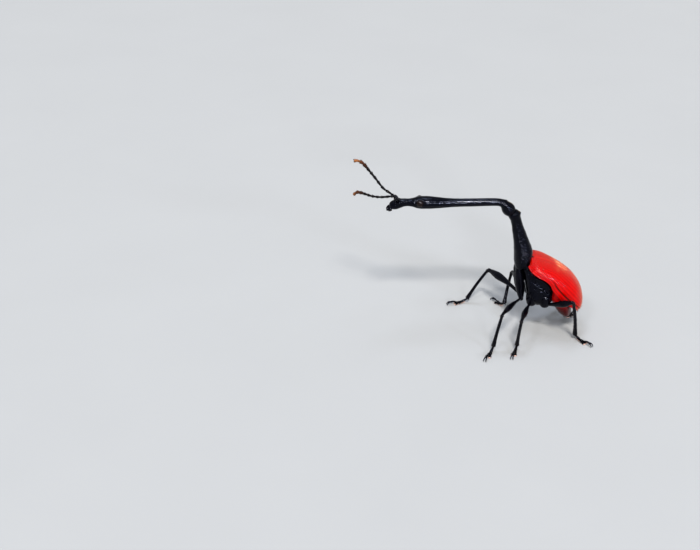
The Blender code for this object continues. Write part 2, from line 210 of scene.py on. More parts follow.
# %% Clouds and pits
def scrambled(cells, seed):
    """Three repeatable numbers from 0 to 1 for each whole-numbered cell."""
    c = cells.astype(np.int64).astype(np.uint64)
    h = c[:, 0] * np.uint64(73856093) ^ c[:, 1] * np.uint64(19349663) ^ c[:, 2] * np.uint64(83492791)
    h = h ^ np.uint64(seed * 7919 + 11)
    numbers = []
    for _ in range(3):
        h = (h ^ (h >> np.uint64(15))) * np.uint64(2246822519) & np.uint64(0xFFFFFFFF)
        h = (h ^ (h >> np.uint64(13))) * np.uint64(3266489917) & np.uint64(0xFFFFFFFF)
        h = h ^ (h >> np.uint64(16))
        numbers.append(h.astype(float) / 4294967296.0)
    return np.stack(numbers, -1)


def cloud(points, size, seed, layers=2):
    """Soft random values from -1 to 1 whose lumps are about size across."""
    total, weight = 0.0, 0.0
    for layer in range(layers):
        p = points / size * 2**layer
        cell = np.floor(p)
        t = p - cell
        t = t * t * (3 - 2 * t)
        value = 0.0
        for corner in np.ndindex(2, 2, 2):
            share = np.prod(np.where(np.array(corner), t, 1 - t), axis=1)
            value = value + share * scrambled(cell + corner, seed + layer)[:, 0]
        total = total + (value * 2 - 1) / 2**layer
        weight += 1 / 2**layer
    return total / weight


def pits(points, spacing, size, seed):
    """Depth from 0 to 1 of round pits, one to each cell of the given spacing, size across."""
    p = points / spacing
    cell = np.floor(p)
    nearest = np.full(len(p), 9.0)
    for step in np.ndindex(3, 3, 3):
        corner = cell + np.array(step) - 1
        centre = corner + 0.2 + 0.6 * scrambled(corner, seed)
        nearest = np.minimum(nearest, np.linalg.norm(centre - p, axis=1))
    return np.exp(-((nearest * spacing / (size * 0.42)) ** 2))


print("Sample of a cloud:", cloud(np.zeros((1, 3)) + 0.3, 1.0, 1).round(3))

# %% [markdown]
# ## Hills, ridges and soft steps
#
# Some relief has its own place: a knob, a seam between two plates, the end of a wrinkled patch. A
# hill falls off round a point, and a ridge falls off beside a line drawn in the side view. A soft
# step fades a pattern in or out. All give numbers from 0 to 1, so they can be multiplied.


# %% Hills, ridges and fades
def bump_at(points, centre, radius):
    """A soft hill from 0 to 1 round a centre."""
    return np.exp(-(np.linalg.norm(points - np.array(centre), axis=1) / radius) ** 2)


def ridge_along(points, line, width):
    """A soft ridge from 0 to 1 along a line of x and z points, as seen from the side."""
    flat = points[:, [0, 2]]
    best = np.full(len(flat), 9.0)
    for start, end in zip(np.array(line[:-1], float), np.array(line[1:], float)):
        run = end - start
        t = np.clip((flat - start) @ run / (run @ run), 0, 1)
        best = np.minimum(best, np.linalg.norm(flat - start - t[:, None] * run, axis=1))
    return np.exp(-((best / width) ** 2))


def fade(value, start, end):
    """0 at start and 1 at end, with a soft step between."""
    t = np.clip((value - start) / (end - start), 0, 1)
    return t * t * (3 - 2 * t)


print("A fade at a quarter of its way:", float(fade(0.25, 0, 1)))

# %% [markdown]
# ## Materials made of nodes
#
# A finish that is the same all over is a number on the shader itself. What changes from place to
# place comes from textures, and a few helpers keep those short to write. Each texture uses the
# piece's own coordinates, and its features have a size in millimetres.


# %% Helpers for nodes
def new_material(name, roughness, coat, coat_roughness, specular=0.5):
    """A Principled material with its constant finish set on the shader's own sockets."""
    material = bpy.data.materials.new(name)
    material.use_nodes = True
    shader = material.node_tree.nodes["Principled BSDF"]
    shader.inputs["Roughness"].default_value = roughness
    shader.inputs["Coat Weight"].default_value = coat
    shader.inputs["Coat Roughness"].default_value = coat_roughness
    shader.inputs["Specular IOR Level"].default_value = specular
    return material, shader


def add_node(material, kind, **settings):
    """A new node with its properties set."""
    node = material.node_tree.nodes.new(kind)
    for key, value in settings.items():
        setattr(node, key, value)
    return node


def join(material, out_socket, in_socket):
    material.node_tree.links.new(out_socket, in_socket)


def texture(material, kind, size_mm, **settings):
    """A 3D texture whose features are about size_mm across, in the piece's own space."""
    place = add_node(material, "ShaderNodeTexCoord")
    node = add_node(material, kind)
    node.inputs["Scale"].default_value = 1 / (size_mm * MM)
    for key, value in settings.items():
        node.inputs[key].default_value = value
    join(material, place.outputs["Object"], node.inputs["Vector"])
    return node


def attribute(material, name):
    """A node that reads a number stored at the points of the mesh."""
    return add_node(material, "ShaderNodeAttribute", attribute_name=name)


print("Helpers for nodes are ready")

# %% [markdown]
# ## Ramps and bump
#
# A texture gives a plain number. A ramp turns it into a colour, or into a roughness when its
# colours are greys. A bump node turns it into tiny slopes that only the light sees, which is right
# for a grain finer than the mesh.


# %% Ramps and bump
def ramp(material, source, stops):
    """A colour ramp from (position, colour) stops, fed by a socket."""
    node = add_node(material, "ShaderNodeValToRGB")
    elements = node.color_ramp.elements
    while len(elements) < len(stops):
        elements.new(0.5)
    for element, (position, colour) in zip(elements, stops):
        element.position = position
        element.color = (*colour, 1.0)
    join(material, source, node.inputs["Fac"])
    return node


def colour_by(material, shader, source, stops):
    """Lets a socket choose the base colour through a ramp."""
    join(material, ramp(material, source, stops).outputs["Color"], shader.inputs["Base Color"])


def polish_by(material, shader, source, *stops):
    """Lets a socket choose the roughness, from stops of position and roughness."""
    greys = [(position, (roughness,) * 3) for position, roughness in stops]
    join(material, ramp(material, source, greys).outputs["Color"], shader.inputs["Roughness"])


def add_bump(material, shader, source, depth_mm, strength=1.0):
    bump = add_node(material, "ShaderNodeBump")
    bump.inputs["Distance"].default_value = depth_mm * MM
    bump.inputs["Strength"].default_value = strength
    join(material, source, bump.inputs["Height"])
    join(material, bump.outputs["Normal"], shader.inputs["Normal"])


print("Ramps and bump are ready")

# %% [markdown]
# ## Black chitin
#
# A beetle's armour is chitin: hard, glossy and almost black, with a faint blue cast in its
# highlights. The base colour is nearly black with slow changes, and a tint on the mirror gives the
# blue. The roughness varies a little, because wax and dust are uneven. A Voronoi texture feeds a
# very small bump, which stands for the microscopic net of cells too fine for the mesh.

# %% The black armour
BLUE_GLINT = (0.70, 0.74, 1.0, 1.0)


def black_chitin(name, dark, light, low_rough, high_rough, cell_mm):
    """Near-black armour with uneven wax and a net of fine cells."""
    material, shader = new_material(name, low_rough, coat=0.15, coat_roughness=0.03, specular=0.12)
    shader.inputs["Specular Tint"].default_value = BLUE_GLINT
    patches = texture(material, "ShaderNodeTexNoise", 0.9, Detail=5.0, Roughness=0.6)
    colour_by(material, shader, patches.outputs["Fac"], [(0.35, dark), (0.75, light)])
    wax = texture(material, "ShaderNodeTexNoise", 0.25, Detail=6.0, Roughness=0.65)
    polish_by(material, shader, wax.outputs["Fac"], (0.3, low_rough), (0.75, high_rough))
    cells = texture(material, "ShaderNodeTexVoronoi", cell_mm, Randomness=0.9)
    add_bump(material, shader, cells.outputs["Distance"], 0.004, 0.5)
    return material


shell_black = black_chitin(
    "black_chitin", (0.0004, 0.0005, 0.0014), (0.0014, 0.0015, 0.0042), 0.08, 0.20, 0.045
)
leg_black = black_chitin(
    "leg_chitin", (0.0006, 0.0006, 0.0014), (0.0020, 0.0020, 0.0042), 0.09, 0.24, 0.035
)
print("Materials so far:", shell_black.name, leg_black.name)

# %% [markdown]
# ## Red wing-case chitin
#
# The wing cases are pigmented all through and covered by clear wax, so they look like lacquer. The
# red is darkened by painted shade in the furrows, pits and crease, at the tail and near the lower
# edge. We store that painted shade at every point when the pits are carved, so that colour and shape
# always agree, and a texture could not know where the pits are. A faint golden sheen warms the
# edges, where one looks along the surface.

# %% The red lacquer
GOLD_SHEEN = (1.0, 0.55, 0.08, 1.0)
# Reds from the deepest painted shade up to the full colour of the lacquer.
SHADE_REDS = [
    (0.0, (0.010, 0.0001, 0.0004)),
    (0.35, (0.075, 0.0002, 0.0006)),
    (0.72, (0.29, 0.0004, 0.0008)),
    (1.0, (0.42, 0.0010, 0.0009)),
]
VEIL = [(0.3, (0.82, 0.80, 0.80)), (0.7, (1.0, 1.0, 1.0))]


def red_lacquer():
    """Lacquer whose red and painted shade come from the attribute named shade, under a slow veil of lighter
    patches.
    """
    material, shader = new_material("red_lacquer", 0.16, coat=0.18, coat_roughness=0.04, specular=0.12)
    shader.inputs["Sheen Weight"].default_value = 0.18
    shader.inputs["Sheen Roughness"].default_value = 0.35
    shader.inputs["Sheen Tint"].default_value = GOLD_SHEEN
    reds = ramp(material, attribute(material, "shade").outputs["Fac"], SHADE_REDS)
    mottle = texture(material, "ShaderNodeTexNoise", 0.7, Detail=5.0, Roughness=0.6)
    veil = ramp(material, mottle.outputs["Fac"], VEIL)
    mix = add_node(material, "ShaderNodeMix", data_type="RGBA", blend_type="MULTIPLY")
    mix.inputs["Factor"].default_value = 1.0
    join(material, reds.outputs["Color"], mix.inputs[6])
    join(material, veil.outputs["Color"], mix.inputs[7])
    join(material, mix.outputs[2], shader.inputs["Base Color"])
    wax = texture(material, "ShaderNodeTexNoise", 0.18, Detail=6.0, Roughness=0.6)
    polish_by(material, shader, wax.outputs["Fac"], (0.3, 0.10), (0.75, 0.22))
    cells = texture(material, "ShaderNodeTexVoronoi", 0.05, Randomness=0.9)
    add_bump(material, shader, cells.outputs["Distance"], 0.003, 0.35)
    return material


wing_red = red_lacquer()
print("Red lacquer reads the attribute named shade")

# %% [markdown]
# ## Belly and eyes
#
# The underside is a darker, less polished red than the wing cases. Painted shade by height makes it
# brighter high on the flanks and dark red below. The eyes are wet-looking brown domes made of
# hundreds of tiny lenses. Evenly placed Voronoi cells look like such lenses, since each cell has a
# middle and a border.

# %% Belly and eye
# Reds from painted shade low on the belly up to the brighter flanks.
BELLY_REDS = [
    (0.0, (0.050, 0.0005, 0.0010)),
    (0.45, (0.10, 0.0006, 0.0012)),
    (0.80, (0.28, 0.0010, 0.0012)),
    (1.0, (0.36, 0.0016, 0.0014)),
]
LENS_BROWNS = [(0.0, (0.018, 0.0030, 0.0014)), (0.55, (0.003, 0.0007, 0.0004))]


def belly_red():
    """Painted shade by height, read from a stored number: bright red high on the flanks, dark red below."""
    material, shader = new_material("belly_red", 0.35, coat=0.12, coat_roughness=0.15, specular=0.18)
    patches = texture(material, "ShaderNodeTexNoise", 0.6, Detail=5.0, Roughness=0.6)
    colour_by(material, shader, attribute(material, "painted_light_by_height").outputs["Fac"], BELLY_REDS)
    polish_by(material, shader, patches.outputs["Fac"], (0.3, 0.28), (0.7, 0.46))
    grain = texture(material, "ShaderNodeTexVoronoi", 0.05)
    add_bump(material, shader, grain.outputs["Distance"], 0.005, 0.6)
    return material


def eye_brown():
    material, shader = new_material("eye_brown", 0.12, coat=0.25, coat_roughness=0.04, specular=0.22)
    lenses = texture(material, "ShaderNodeTexVoronoi", 0.032, Randomness=0.15)
    colour_by(material, shader, lenses.outputs["Distance"], LENS_BROWNS)
    add_bump(material, shader, lenses.outputs["Distance"], 0.003, 0.25)
    return material


under_red, eye_finish = belly_red(), eye_brown()
print("Softer finishes:", under_red.name, eye_finish.name)

# %% [markdown]
# ## Soles, bristles and feelers
#
# The soles are pale pink felt, so they get a sheen and no gloss. The bristles are thin black horn.
# The feelers are black at the root and warm brown at the tip, and a number stored along them
# says where the brown begins.

# %% Sole, bristle and feeler
SOLE_PINKS = [(0.3, (0.33, 0.17, 0.13)), (0.7, (0.58, 0.39, 0.31))]
HORN_BLACKS = [(0.35, (0.006, 0.005, 0.004)), (0.75, (0.035, 0.022, 0.012))]
TIP_BROWNS = [
    (0.0, (0.002, 0.002, 0.004)),
    (0.76, (0.005, 0.004, 0.004)),
    (0.88, (0.07, 0.024, 0.010)),
    (1.0, (0.26, 0.10, 0.03)),
]


def sole_pink():
    material, shader = new_material("sole_pink", 0.75, coat=0.0, coat_roughness=0.3)
    shader.inputs["Sheen Weight"].default_value = 0.4
    grain = texture(material, "ShaderNodeTexNoise", 0.03, Detail=3.0)
    colour_by(material, shader, grain.outputs["Fac"], SOLE_PINKS)
    add_bump(material, shader, grain.outputs["Fac"], 0.01, 1.0)
    return material


def bristle_horn():
    material, shader = new_material("bristle_horn", 0.35, coat=0.0, coat_roughness=0.3)
    tone = texture(material, "ShaderNodeTexNoise", 0.3, Detail=2.0)
    colour_by(material, shader, tone.outputs["Fac"], HORN_BLACKS)
    return material


def feeler_brown():
    """Black joints that turn to warm brown towards the tip, read from the attribute named tip."""
    material, shader = new_material("feeler_brown", 0.24, coat=0.1, coat_roughness=0.1, specular=0.16)
    colour_by(material, shader, attribute(material, "tip").outputs["Fac"], TIP_BROWNS)
    cells = texture(material, "ShaderNodeTexVoronoi", 0.03)
    add_bump(material, shader, cells.outputs["Distance"], 0.003, 0.6)
    return material


sole_felt, bristle_finish, feeler_finish = sole_pink(), bristle_horn(), feeler_brown()
print("Finishes:", len(bpy.data.materials))

# %% [markdown]
# ## Dressing a piece
#
# Each fine piece gets its material, and the plain solids that it covers are hidden. Numbers that a
# material reads are stored point by point.


# %% Dress a piece and store its numbers
def dress(piece, material, slot, *nodes):
    """Gives a piece its material, and lets it stand for the plain solids it covers."""
    piece.data.materials.clear()
    piece.data.materials.append(material)
    if nodes:
        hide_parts(*nodes)
    print(piece.name, "has", len(piece.data.polygons), "faces")
    return piece


def store(piece, name, values):
    """Keeps one number at each point of a piece, for its material to read."""
    layer = piece.data.attributes.new(name, "FLOAT", "POINT")
    layer.data.foreach_set("value", values.astype(np.float32))


print("A piece is dressed in one call")

# %% [markdown]
# ## The head and its long neck
#
# What looks like a neck is mostly the back of the head, drawn out into a rod, with a ball at
# its end. The snout widens at the tip, where the jaws sit, and again at the cheeks behind the eyes. One
# smooth skin covers all of it, so no seam shows. Each row gives x, z, the tilt of the section,
# its half depth and its half width.

# %% Sections of the head
HEAD_LEVEL = 11.62
HEAD = [
    (-11.06, 11.26, 118, 0.03, 0.04),
    (-11.03, 11.27, 117, 0.15, 0.20),
    (-10.97, 11.30, 115, 0.25, 0.32),
    (-10.84, 11.35, 113, 0.34, 0.40),
    (-10.60, 11.44, 108, 0.39, 0.44),
    (-10.25, 11.55, 100, 0.38, 0.42),
    (-9.90, HEAD_LEVEL - 0.01, 92, 0.33, 0.35),
    (-9.55, HEAD_LEVEL, 90, 0.31, 0.33),
    (-9.20, HEAD_LEVEL, 90, 0.36, 0.40),
    (-8.85, HEAD_LEVEL, 90, 0.46, 0.52),
    (-8.45, HEAD_LEVEL, 90, 0.51, 0.57),
    (-7.90, HEAD_LEVEL, 90, 0.51, 0.55),
    (-7.30, HEAD_LEVEL - 0.02, 90, 0.47, 0.50),
    (-6.45, HEAD_LEVEL - 0.03, 90, 0.39, 0.42),
    (-5.50, HEAD_LEVEL - 0.02, 90, 0.34, 0.36),
    (-4.30, HEAD_LEVEL, 90, 0.33, 0.34),
    (-3.10, HEAD_LEVEL + 0.03, 90, 0.32, 0.33),
    (-2.35, HEAD_LEVEL + 0.03, 88, 0.31, 0.33),
    (-2.00, HEAD_LEVEL - 0.04, 74, 0.32, 0.35),
    (-1.78, HEAD_LEVEL - 0.20, 56, 0.38, 0.40),
    (-1.58, HEAD_LEVEL - 0.40, 46, 0.50, 0.49),
    (-1.43, HEAD_LEVEL - 0.56, 42, 0.54, 0.53),
    (-1.32, HEAD_LEVEL - 0.70, 38, 0.53, 0.53),
    (-1.22, HEAD_LEVEL - 0.84, 36, 0.47, 0.49),
    (-1.12, HEAD_LEVEL - 0.98, 35, 0.34, 0.36),
    (-1.06, HEAD_LEVEL - 1.06, 35, 0.02, 0.02),
]


def oval_rings(rows, sides):
    """Rings of an oval section for rows of x, z, tilt, half depth and half width."""
    x, z, tilt, depth, width = np.asarray(rows).T
    turn = np.linspace(0, 2 * np.pi, sides, endpoint=False)
    up = np.stack([np.cos(np.radians(tilt)), 0 * x, np.sin(np.radians(tilt))], -1)
    centre = np.stack([x, 0 * x, z], -1)
    rings = centre[:, None] + (up * depth[:, None])[:, None] * np.cos(turn)[None, :, None]
    rings[:, :, 1] += width[:, None] * np.sin(turn)[None]
    return rings


head_skin = tubes("head_skin", [oval_rings(smooth_rows(HEAD, 620), 132)])
print("Head and neck together are", round(HEAD[-1][0] - HEAD[0][0], 2), "mm long")

# %% [markdown]
# ## Relief of the head
#
# Around each eye runs a shallow ring, and each feeler grows out of a raised socket. A groove
# runs back from the eye along the cheek, and the crown has a short furrow between the
# feelers. The ball at the back is wrinkled where it turns in the collar. Fine pits cover the snout.

# %% Carve the head
EYE_CENTRE = (-8.62, 0.50, HEAD_LEVEL + 0.10)
FEELER_ROOT = (-10.42, 0.30, 11.86)


def head_relief(points, normals):
    x, y, z = points.T
    folded = np.stack([x, np.abs(y), z], -1)
    from_eye = np.hypot(x - EYE_CENTRE[0], z - EYE_CENTRE[2])
    side = fade(np.abs(y), 0.15, 0.35)
    eye_ring = np.exp(-(((from_eye - 0.34) / 0.05) ** 2)) * side
    eye_groove = np.exp(-(((from_eye - 0.43) / 0.04) ** 2)) * side
    from_root = np.linalg.norm(folded - np.array(FEELER_ROOT), axis=1)
    socket = np.exp(-(((from_root - 0.17) / 0.05) ** 2)) - 1.2 * np.exp(-((from_root / 0.12) ** 2))
    cheek = ridge_along(points, [(-8.3, 11.40), (-7.2, 11.36), (-5.6, 11.42), (-2.6, 11.47)], 0.060)
    cheek_ridge = ridge_along(points, [(-8.4, 11.52), (-7.2, 11.49), (-5.6, 11.53), (-2.6, 11.56)], 0.05)
    furrow = np.exp(-((y / 0.05) ** 2)) * fade(z, 11.6, 11.8) * fade(-x, 9.1, 9.4) * fade(x, -10.9, -10.5)
    snout_edge = ridge_along(points, [(-10.55, 11.72), (-10.0, 11.74), (-9.3, 11.80), (-8.9, 11.95)], 0.05)
    nape = fade(x, -2.6, -1.7)
    wrinkles = np.sin((x * 0.55 - z * 0.85) * 48 + 9 * cloud(points, 0.4, 3)) * nape
    wrinkles = wrinkles * fade(cloud(points, 0.25, 4), -0.2, 0.6)
    knob = bump_at(points, (-1.62, 0.0, 11.76), 0.16)
    shoulders = bump_at(folded, (-1.55, 0.36, 11.38), 0.15) + bump_at(folded, (-1.62, 0.42, 10.96), 0.16)
    fine = pits(points, 0.12, 0.07, 7)
    snout = fade(-x, 8.9, 9.6)
    height = 0.022 * eye_ring - 0.028 * eye_groove + 0.055 * socket
    height += -0.040 * cheek * side + 0.020 * cheek_ridge * side
    height += -0.030 * furrow + 0.020 * snout_edge * side
    height += 0.010 * wrinkles + 0.09 * knob + 0.05 * shoulders
    height += -(0.006 + 0.012 * snout + 0.012 * nape) * fine
    return height + 0.010 * cloud(points, 0.35, 5) + 0.004 * cloud(points, 0.08, 6)


carve(head_skin, head_relief)
dress(head_skin, shell_black, "black_shell", "head", "neck")

# %% [markdown]
# ## Eyes
#
# A beetle's eye is a dome of tiny lenses, each a little bulge. Single lenses are only three
# hundredths of a millimetre across, so we wrap a fine round net over the oval of the eye, press a
# faint pattern into it and let the cells of the material draw the lenses. The dome sits in the ring
# that we carved.

# %% Two eyes
EYE_RADII = (0.29, 0.21, 0.29)


def dome_rings(centre, radii, rings, sides):
    """Rings of an oval ball whose poles point sideways."""
    turn = np.linspace(0, 2 * np.pi, sides, endpoint=False)
    lift = np.linspace(-0.499 * np.pi, 0.499 * np.pi, rings)[:, None]
    x = centre[0] + radii[0] * np.cos(lift) * np.cos(turn)
    y = centre[1] + radii[1] * np.sin(lift) + 0 * turn
    z = centre[2] + radii[2] * np.cos(lift) * np.sin(turn)
    return np.stack([x, y, z], -1)


def lens_relief(points, normals):
    return -0.0015 * pits(points, 0.034, 0.02, 12)


for side, word in ((LEFT, "left"), (RIGHT, "right")):
    centre = (EYE_CENTRE[0], EYE_CENTRE[1] * side, EYE_CENTRE[2])
    eye = tubes("eye_dome_" + word, [dome_rings(centre, EYE_RADII, 110, 160)])
    carve(eye, lens_relief)
    dress(eye, eye_finish, "eye_brown", "eye_" + word)

# %% [markdown]
# ## Tubes along a path
#
# Jaws, feelers and legs are all bent tubes of changing thickness. A curve object with a bevel
# could draw them, but its rings can't be oval or ridged. So we sweep our own rings. At every point of
# the path we need two directions across it, and we take them from a fixed vector that
# never lies along the path.


# %% Swept rings
def sweep(path, radii, across, sides, flatten=1.0, ridges=0.0):
    """Rings round a path. radii has one radius for each point, and across is a vector beside the path."""
    path, radii = np.asarray(path, float), np.asarray(radii, float)
    along = np.gradient(path, axis=0)
    along /= np.linalg.norm(along, axis=1)[:, None]
    across = np.asarray(across, float)
    first = across - along * (along @ across)[:, None]
    first /= np.linalg.norm(first, axis=1)[:, None]
    second = np.cross(along, first)
    turn = np.linspace(0, 2 * np.pi, sides, endpoint=False)
    wave = 1 + ridges * np.cos(4 * turn)
    out = first[:, None] * (np.cos(turn) * wave)[None, :, None] * flatten
    out = out + second[:, None] * (np.sin(turn) * wave)[None, :, None]
    return path[:, None] + out * radii[:, None, None]


def along_path(points, count):
    """count evenly spaced points on a smooth line through the given points."""
    dense = smooth_rows(points, 800)
    steps = np.concatenate([[0], np.cumsum(np.linalg.norm(np.diff(dense, axis=0), axis=1))])
    even = np.linspace(0, steps[-1], count)
    return np.stack([np.interp(even, steps, dense[:, k]) for k in range(3)], -1)


def radii_along(count, places, radii):
    """count radii, read off between the radii at the given places from 0 to 1."""
    return np.interp(np.linspace(0, 1, count), places, radii)


print("A swept tube has rings of any shape")

# %% [markdown]
# ## Limbs
#
# A thigh, a shin or a foot joint is a tube from one joint to the next, so two points and a profile
# are enough. A real one is rarely straight, and a slight bow to one side makes it look grown.
# Two rings must never lie in the same place, so a hair's breadth is added at every step.


# %% Limbs
def limb(start, end, profile, across, sides=40, count=90, bow=0.0, bow_to=(0, 0, 1), **shape):
    """A closed limb from start to end. profile holds rows of place from 0 to 1 and radius."""
    rows = smooth_rows(profile, count)
    place, radii = np.clip(rows[:, 0], 0, 1), np.maximum(rows[:, 1], 0.002)
    start, end = np.array(start, float), np.array(end, float)
    length = np.linalg.norm(end - start)
    path = start + (end - start) * place[:, None]
    path = path + np.array(bow_to, float) * (bow * length * np.sin(np.pi * place))[:, None]
    path = path + (end - start) * np.linspace(0, 1e-4, count)[:, None]
    return sweep(path, radii, across, sides, **shape)


def cone_profile(thick, thin):
    """Rows of place and radius for a cone with rounded ends."""
    half = (thick + thin) / 2
    return [(0.0, 0.01), (0.02, thick * 0.8), (0.12, thick), (0.5, half), (0.9, thin), (1.0, 0.004)]


print("A cone's profile has", len(cone_profile(1, 0.5)), "rows")

# %% [markdown]
# ## Jaws and palps
#
# A weevil's jaws are small but strong: two curved hooks that meet in front, each with a blunt tooth
# inside. Beside them hang the palps, short jointed fingers that taste the food. We sweep a
# tapering hook for each jaw and add its tooth as a second short cone.


# %% Jaws
JAW_HOOK = [(-10.90, 0.24, 11.25), (-11.08, 0.29, 11.17), (-11.22, 0.24, 11.08), (-11.33, 0.10, 11.00)]
JAW_RADII = [0, 0.06, 0.35, 0.75, 0.95, 1], [0.06, 0.15, 0.145, 0.10, 0.05, 0.008]
JAW_TOOTH = [(-11.17, 0.23, 11.07), (-11.20, 0.07, 11.08)]


def mirrored(points, side):
    """Points given for the right side, on either side."""
    return [(x, y * side, z) for x, y, z in points]


def jaw_relief(points, normals):
    return -0.006 * pits(points, 0.07, 0.04, 15) + 0.004 * cloud(points, 0.1, 16)


for side, word in ((LEFT, "left"), (RIGHT, "right")):
    hook = along_path(mirrored(JAW_HOOK, side), 70)
    parts = [sweep(hook, radii_along(70, *JAW_RADII), (0, 0.3, 1), 36, flatten=0.85)]
    parts.append(limb(*mirrored(JAW_TOOTH, side), cone_profile(0.07, 0.03), (0, 0, 1), 20, 30))
    jaw = tubes("jaw_hook_" + word, parts)
    carve(jaw, jaw_relief)
    dress(jaw, shell_black, "black_shell", "jaw_" + word)

# %% Palps and lip
PALP_KNOTS = [(-10.88, 0.16, 11.02), (-10.97, 0.19, 10.97), (-11.06, 0.19, 10.94), (-11.15, 0.16, 10.92)]
PALP_RADII = (0.055, 0.048, 0.04)
LIP_PROFILE = [(0, 0.02), (0.08, 0.09), (0.5, 0.12), (0.92, 0.09), (1, 0.02)]
mouth_parts = []
for side in (LEFT, RIGHT):
    knots = mirrored(PALP_KNOTS, side)
    for start, end, thick in zip(knots[:-1], knots[1:], PALP_RADII):
        mouth_parts.append(limb(start, end, cone_profile(thick, thick * 0.8), (0, 0, 1), 16, 24))
mouth_parts.append(limb((-10.92, -0.17, 11.44), (-10.92, 0.17, 11.44), LIP_PROFILE, (0, 0, 1), 24, 40))
dress(tubes("palps_and_lip", mouth_parts), shell_black, "black_shell")

# %% [markdown]
# ## Feelers
#
# Each feeler has eleven joints. Every joint starts as a thin stalk and swells towards its far
# end, so the whole feeler looks like a string of long beads, and the last three form a loose club.
# The feelers are thinner here than in the solids, as on the real animal. We also store how far
# along each point lies, and the material uses that to turn the tip brown.

# %% Feeler joints
FEELER_LINES = {
    "left": [
        (-10.40, -0.20, 11.74),
        (-10.46, -0.32, 11.96),
        (-10.70, -0.47, 12.30),
        (-10.98, -0.60, 12.67),
        (-11.64, -0.90, 13.32),
        (-12.21, -1.15, 14.22),
        (-12.77, -1.35, 15.05),
        (-13.25, -1.50, 15.72),
        (-13.67, -1.60, 16.00),
        (-13.98, -1.64, 16.00),
    ],
    "right": [
        (-10.40, 0.20, 11.74),
        (-10.48, 0.36, 11.90),
        (-10.72, 0.68, 11.86),
        (-11.05, 1.04, 11.66),
        (-11.79, 1.65, 11.32),
        (-12.54, 2.35, 11.10),
        (-13.26, 3.00, 11.06),
        (-13.70, 3.40, 10.94),
        (-13.96, 3.65, 10.62),
    ],
}
JOINT_LENGTHS = [1.15, 0.75, 1.15, 1.15, 1.05, 1.0, 0.9, 0.8, 0.85, 0.75, 0.95]
JOINT_RADII = [0.145, 0.12, 0.11, 0.11, 0.11, 0.11, 0.115, 0.12, 0.14, 0.145, 0.125]
JOINT_SHAPE = [(0.0, 0.40), (0.05, 0.58), (0.16, 0.62), (0.5, 0.82), (0.82, 1.0), (0.93, 0.92), (1.0, 0.35)]
JOINT_ROWS, JOINT_SIDES, PATH_POINTS = 44, 28, 1200
OVERLAP = 0.004
print("Joints of a feeler:", len(JOINT_LENGTHS))


# %% Rings for the joints
def feeler_joints(line):
    """Rings for the eleven joints, and the share of the feeler at the start and end of each."""
    path = along_path(line, PATH_POINTS)
    ends = np.concatenate([[0], np.cumsum(JOINT_LENGTHS)]) / sum(JOINT_LENGTHS)
    rings, spans = [], []
    for i, radius in enumerate(JOINT_RADII):
        low, high = ends[i] - OVERLAP * (i > 0), ends[i + 1]
        rows = smooth_rows(JOINT_SHAPE, JOINT_ROWS)
        place = (low + (high - low) * rows[:, 0]) * (PATH_POINTS - 1)
        points = np.stack([np.interp(place, np.arange(PATH_POINTS), path[:, k]) for k in range(3)], -1)
        rings.append(sweep(points, rows[:, 1] * radius, (0.3, 1, 0.2), JOINT_SIDES))
        spans.append((low, high))
    return rings, spans


def share_along(low, high):
    """The share of the feeler at each point of a joint, with the two middle points of its ends last."""
    return np.append(np.repeat(np.linspace(low, high, JOINT_ROWS), JOINT_SIDES), [low, high])


print("The first joint has", share_along(0, 0.1).size, "points")

# %% Two feelers
feeler_rings = {}
for word, line in FEELER_LINES.items():
    feeler_rings[word], spans = feeler_joints(line)
    feeler = tubes("feeler_joints_" + word, feeler_rings[word])
    store(feeler, "tip", np.concatenate([share_along(low, high) for low, high in spans]))
    carve(feeler, lambda points, normals: -0.004 * pits(points, 0.06, 0.035, 21))
    dress(feeler, feeler_finish, "black_shell", "feeler_" + word)

# %% [markdown]
# ## The neck shield
#
# Behind the ball of the head comes the pronotum, the shield over the first pair of legs. On this
# animal it is a long cone that stands upright, with a thick collar at its top and a small tooth on
# the collar's back. Its surface is crossed by fine wrinkles like a stack of rings, and these catch
# the light as rows of small sparks. Sine waves bent by a cloud make such wrinkles.

# %% Shield skin
SHIELD = [
    (-1.06, 10.74, 36, 0.28, 0.30),
    (-1.04, 10.72, 36, 0.40, 0.42),
    (-0.98, 10.62, 34, 0.47, 0.49),
    (-0.91, 10.50, 32, 0.485, 0.50),
    (-0.85, 10.37, 29, 0.475, 0.49),
    (-0.80, 10.24, 25, 0.445, 0.46),
    (-0.74, 10.05, 18, 0.43, 0.44),
    (-0.62, 9.60, 12, 0.45, 0.46),
    (-0.46, 9.00, 11, 0.52, 0.54),
    (-0.24, 8.20, 11, 0.62, 0.67),
    (-0.07, 7.50, 14, 0.73, 0.82),
    (0.00, 7.05, 20, 0.80, 0.93),
    (0.04, 6.70, 29, 0.86, 1.01),
    (0.07, 6.45, 38, 0.91, 1.04),
    (0.085, 6.30, 45, 0.925, 1.03),
    (0.12, 6.22, 46, 0.86, 0.96),
    (0.14, 6.20, 46, 0.40, 0.45),
    (0.14, 6.20, 46, 0.02, 0.02),
]
print("The shield has", len(SHIELD), "rows")


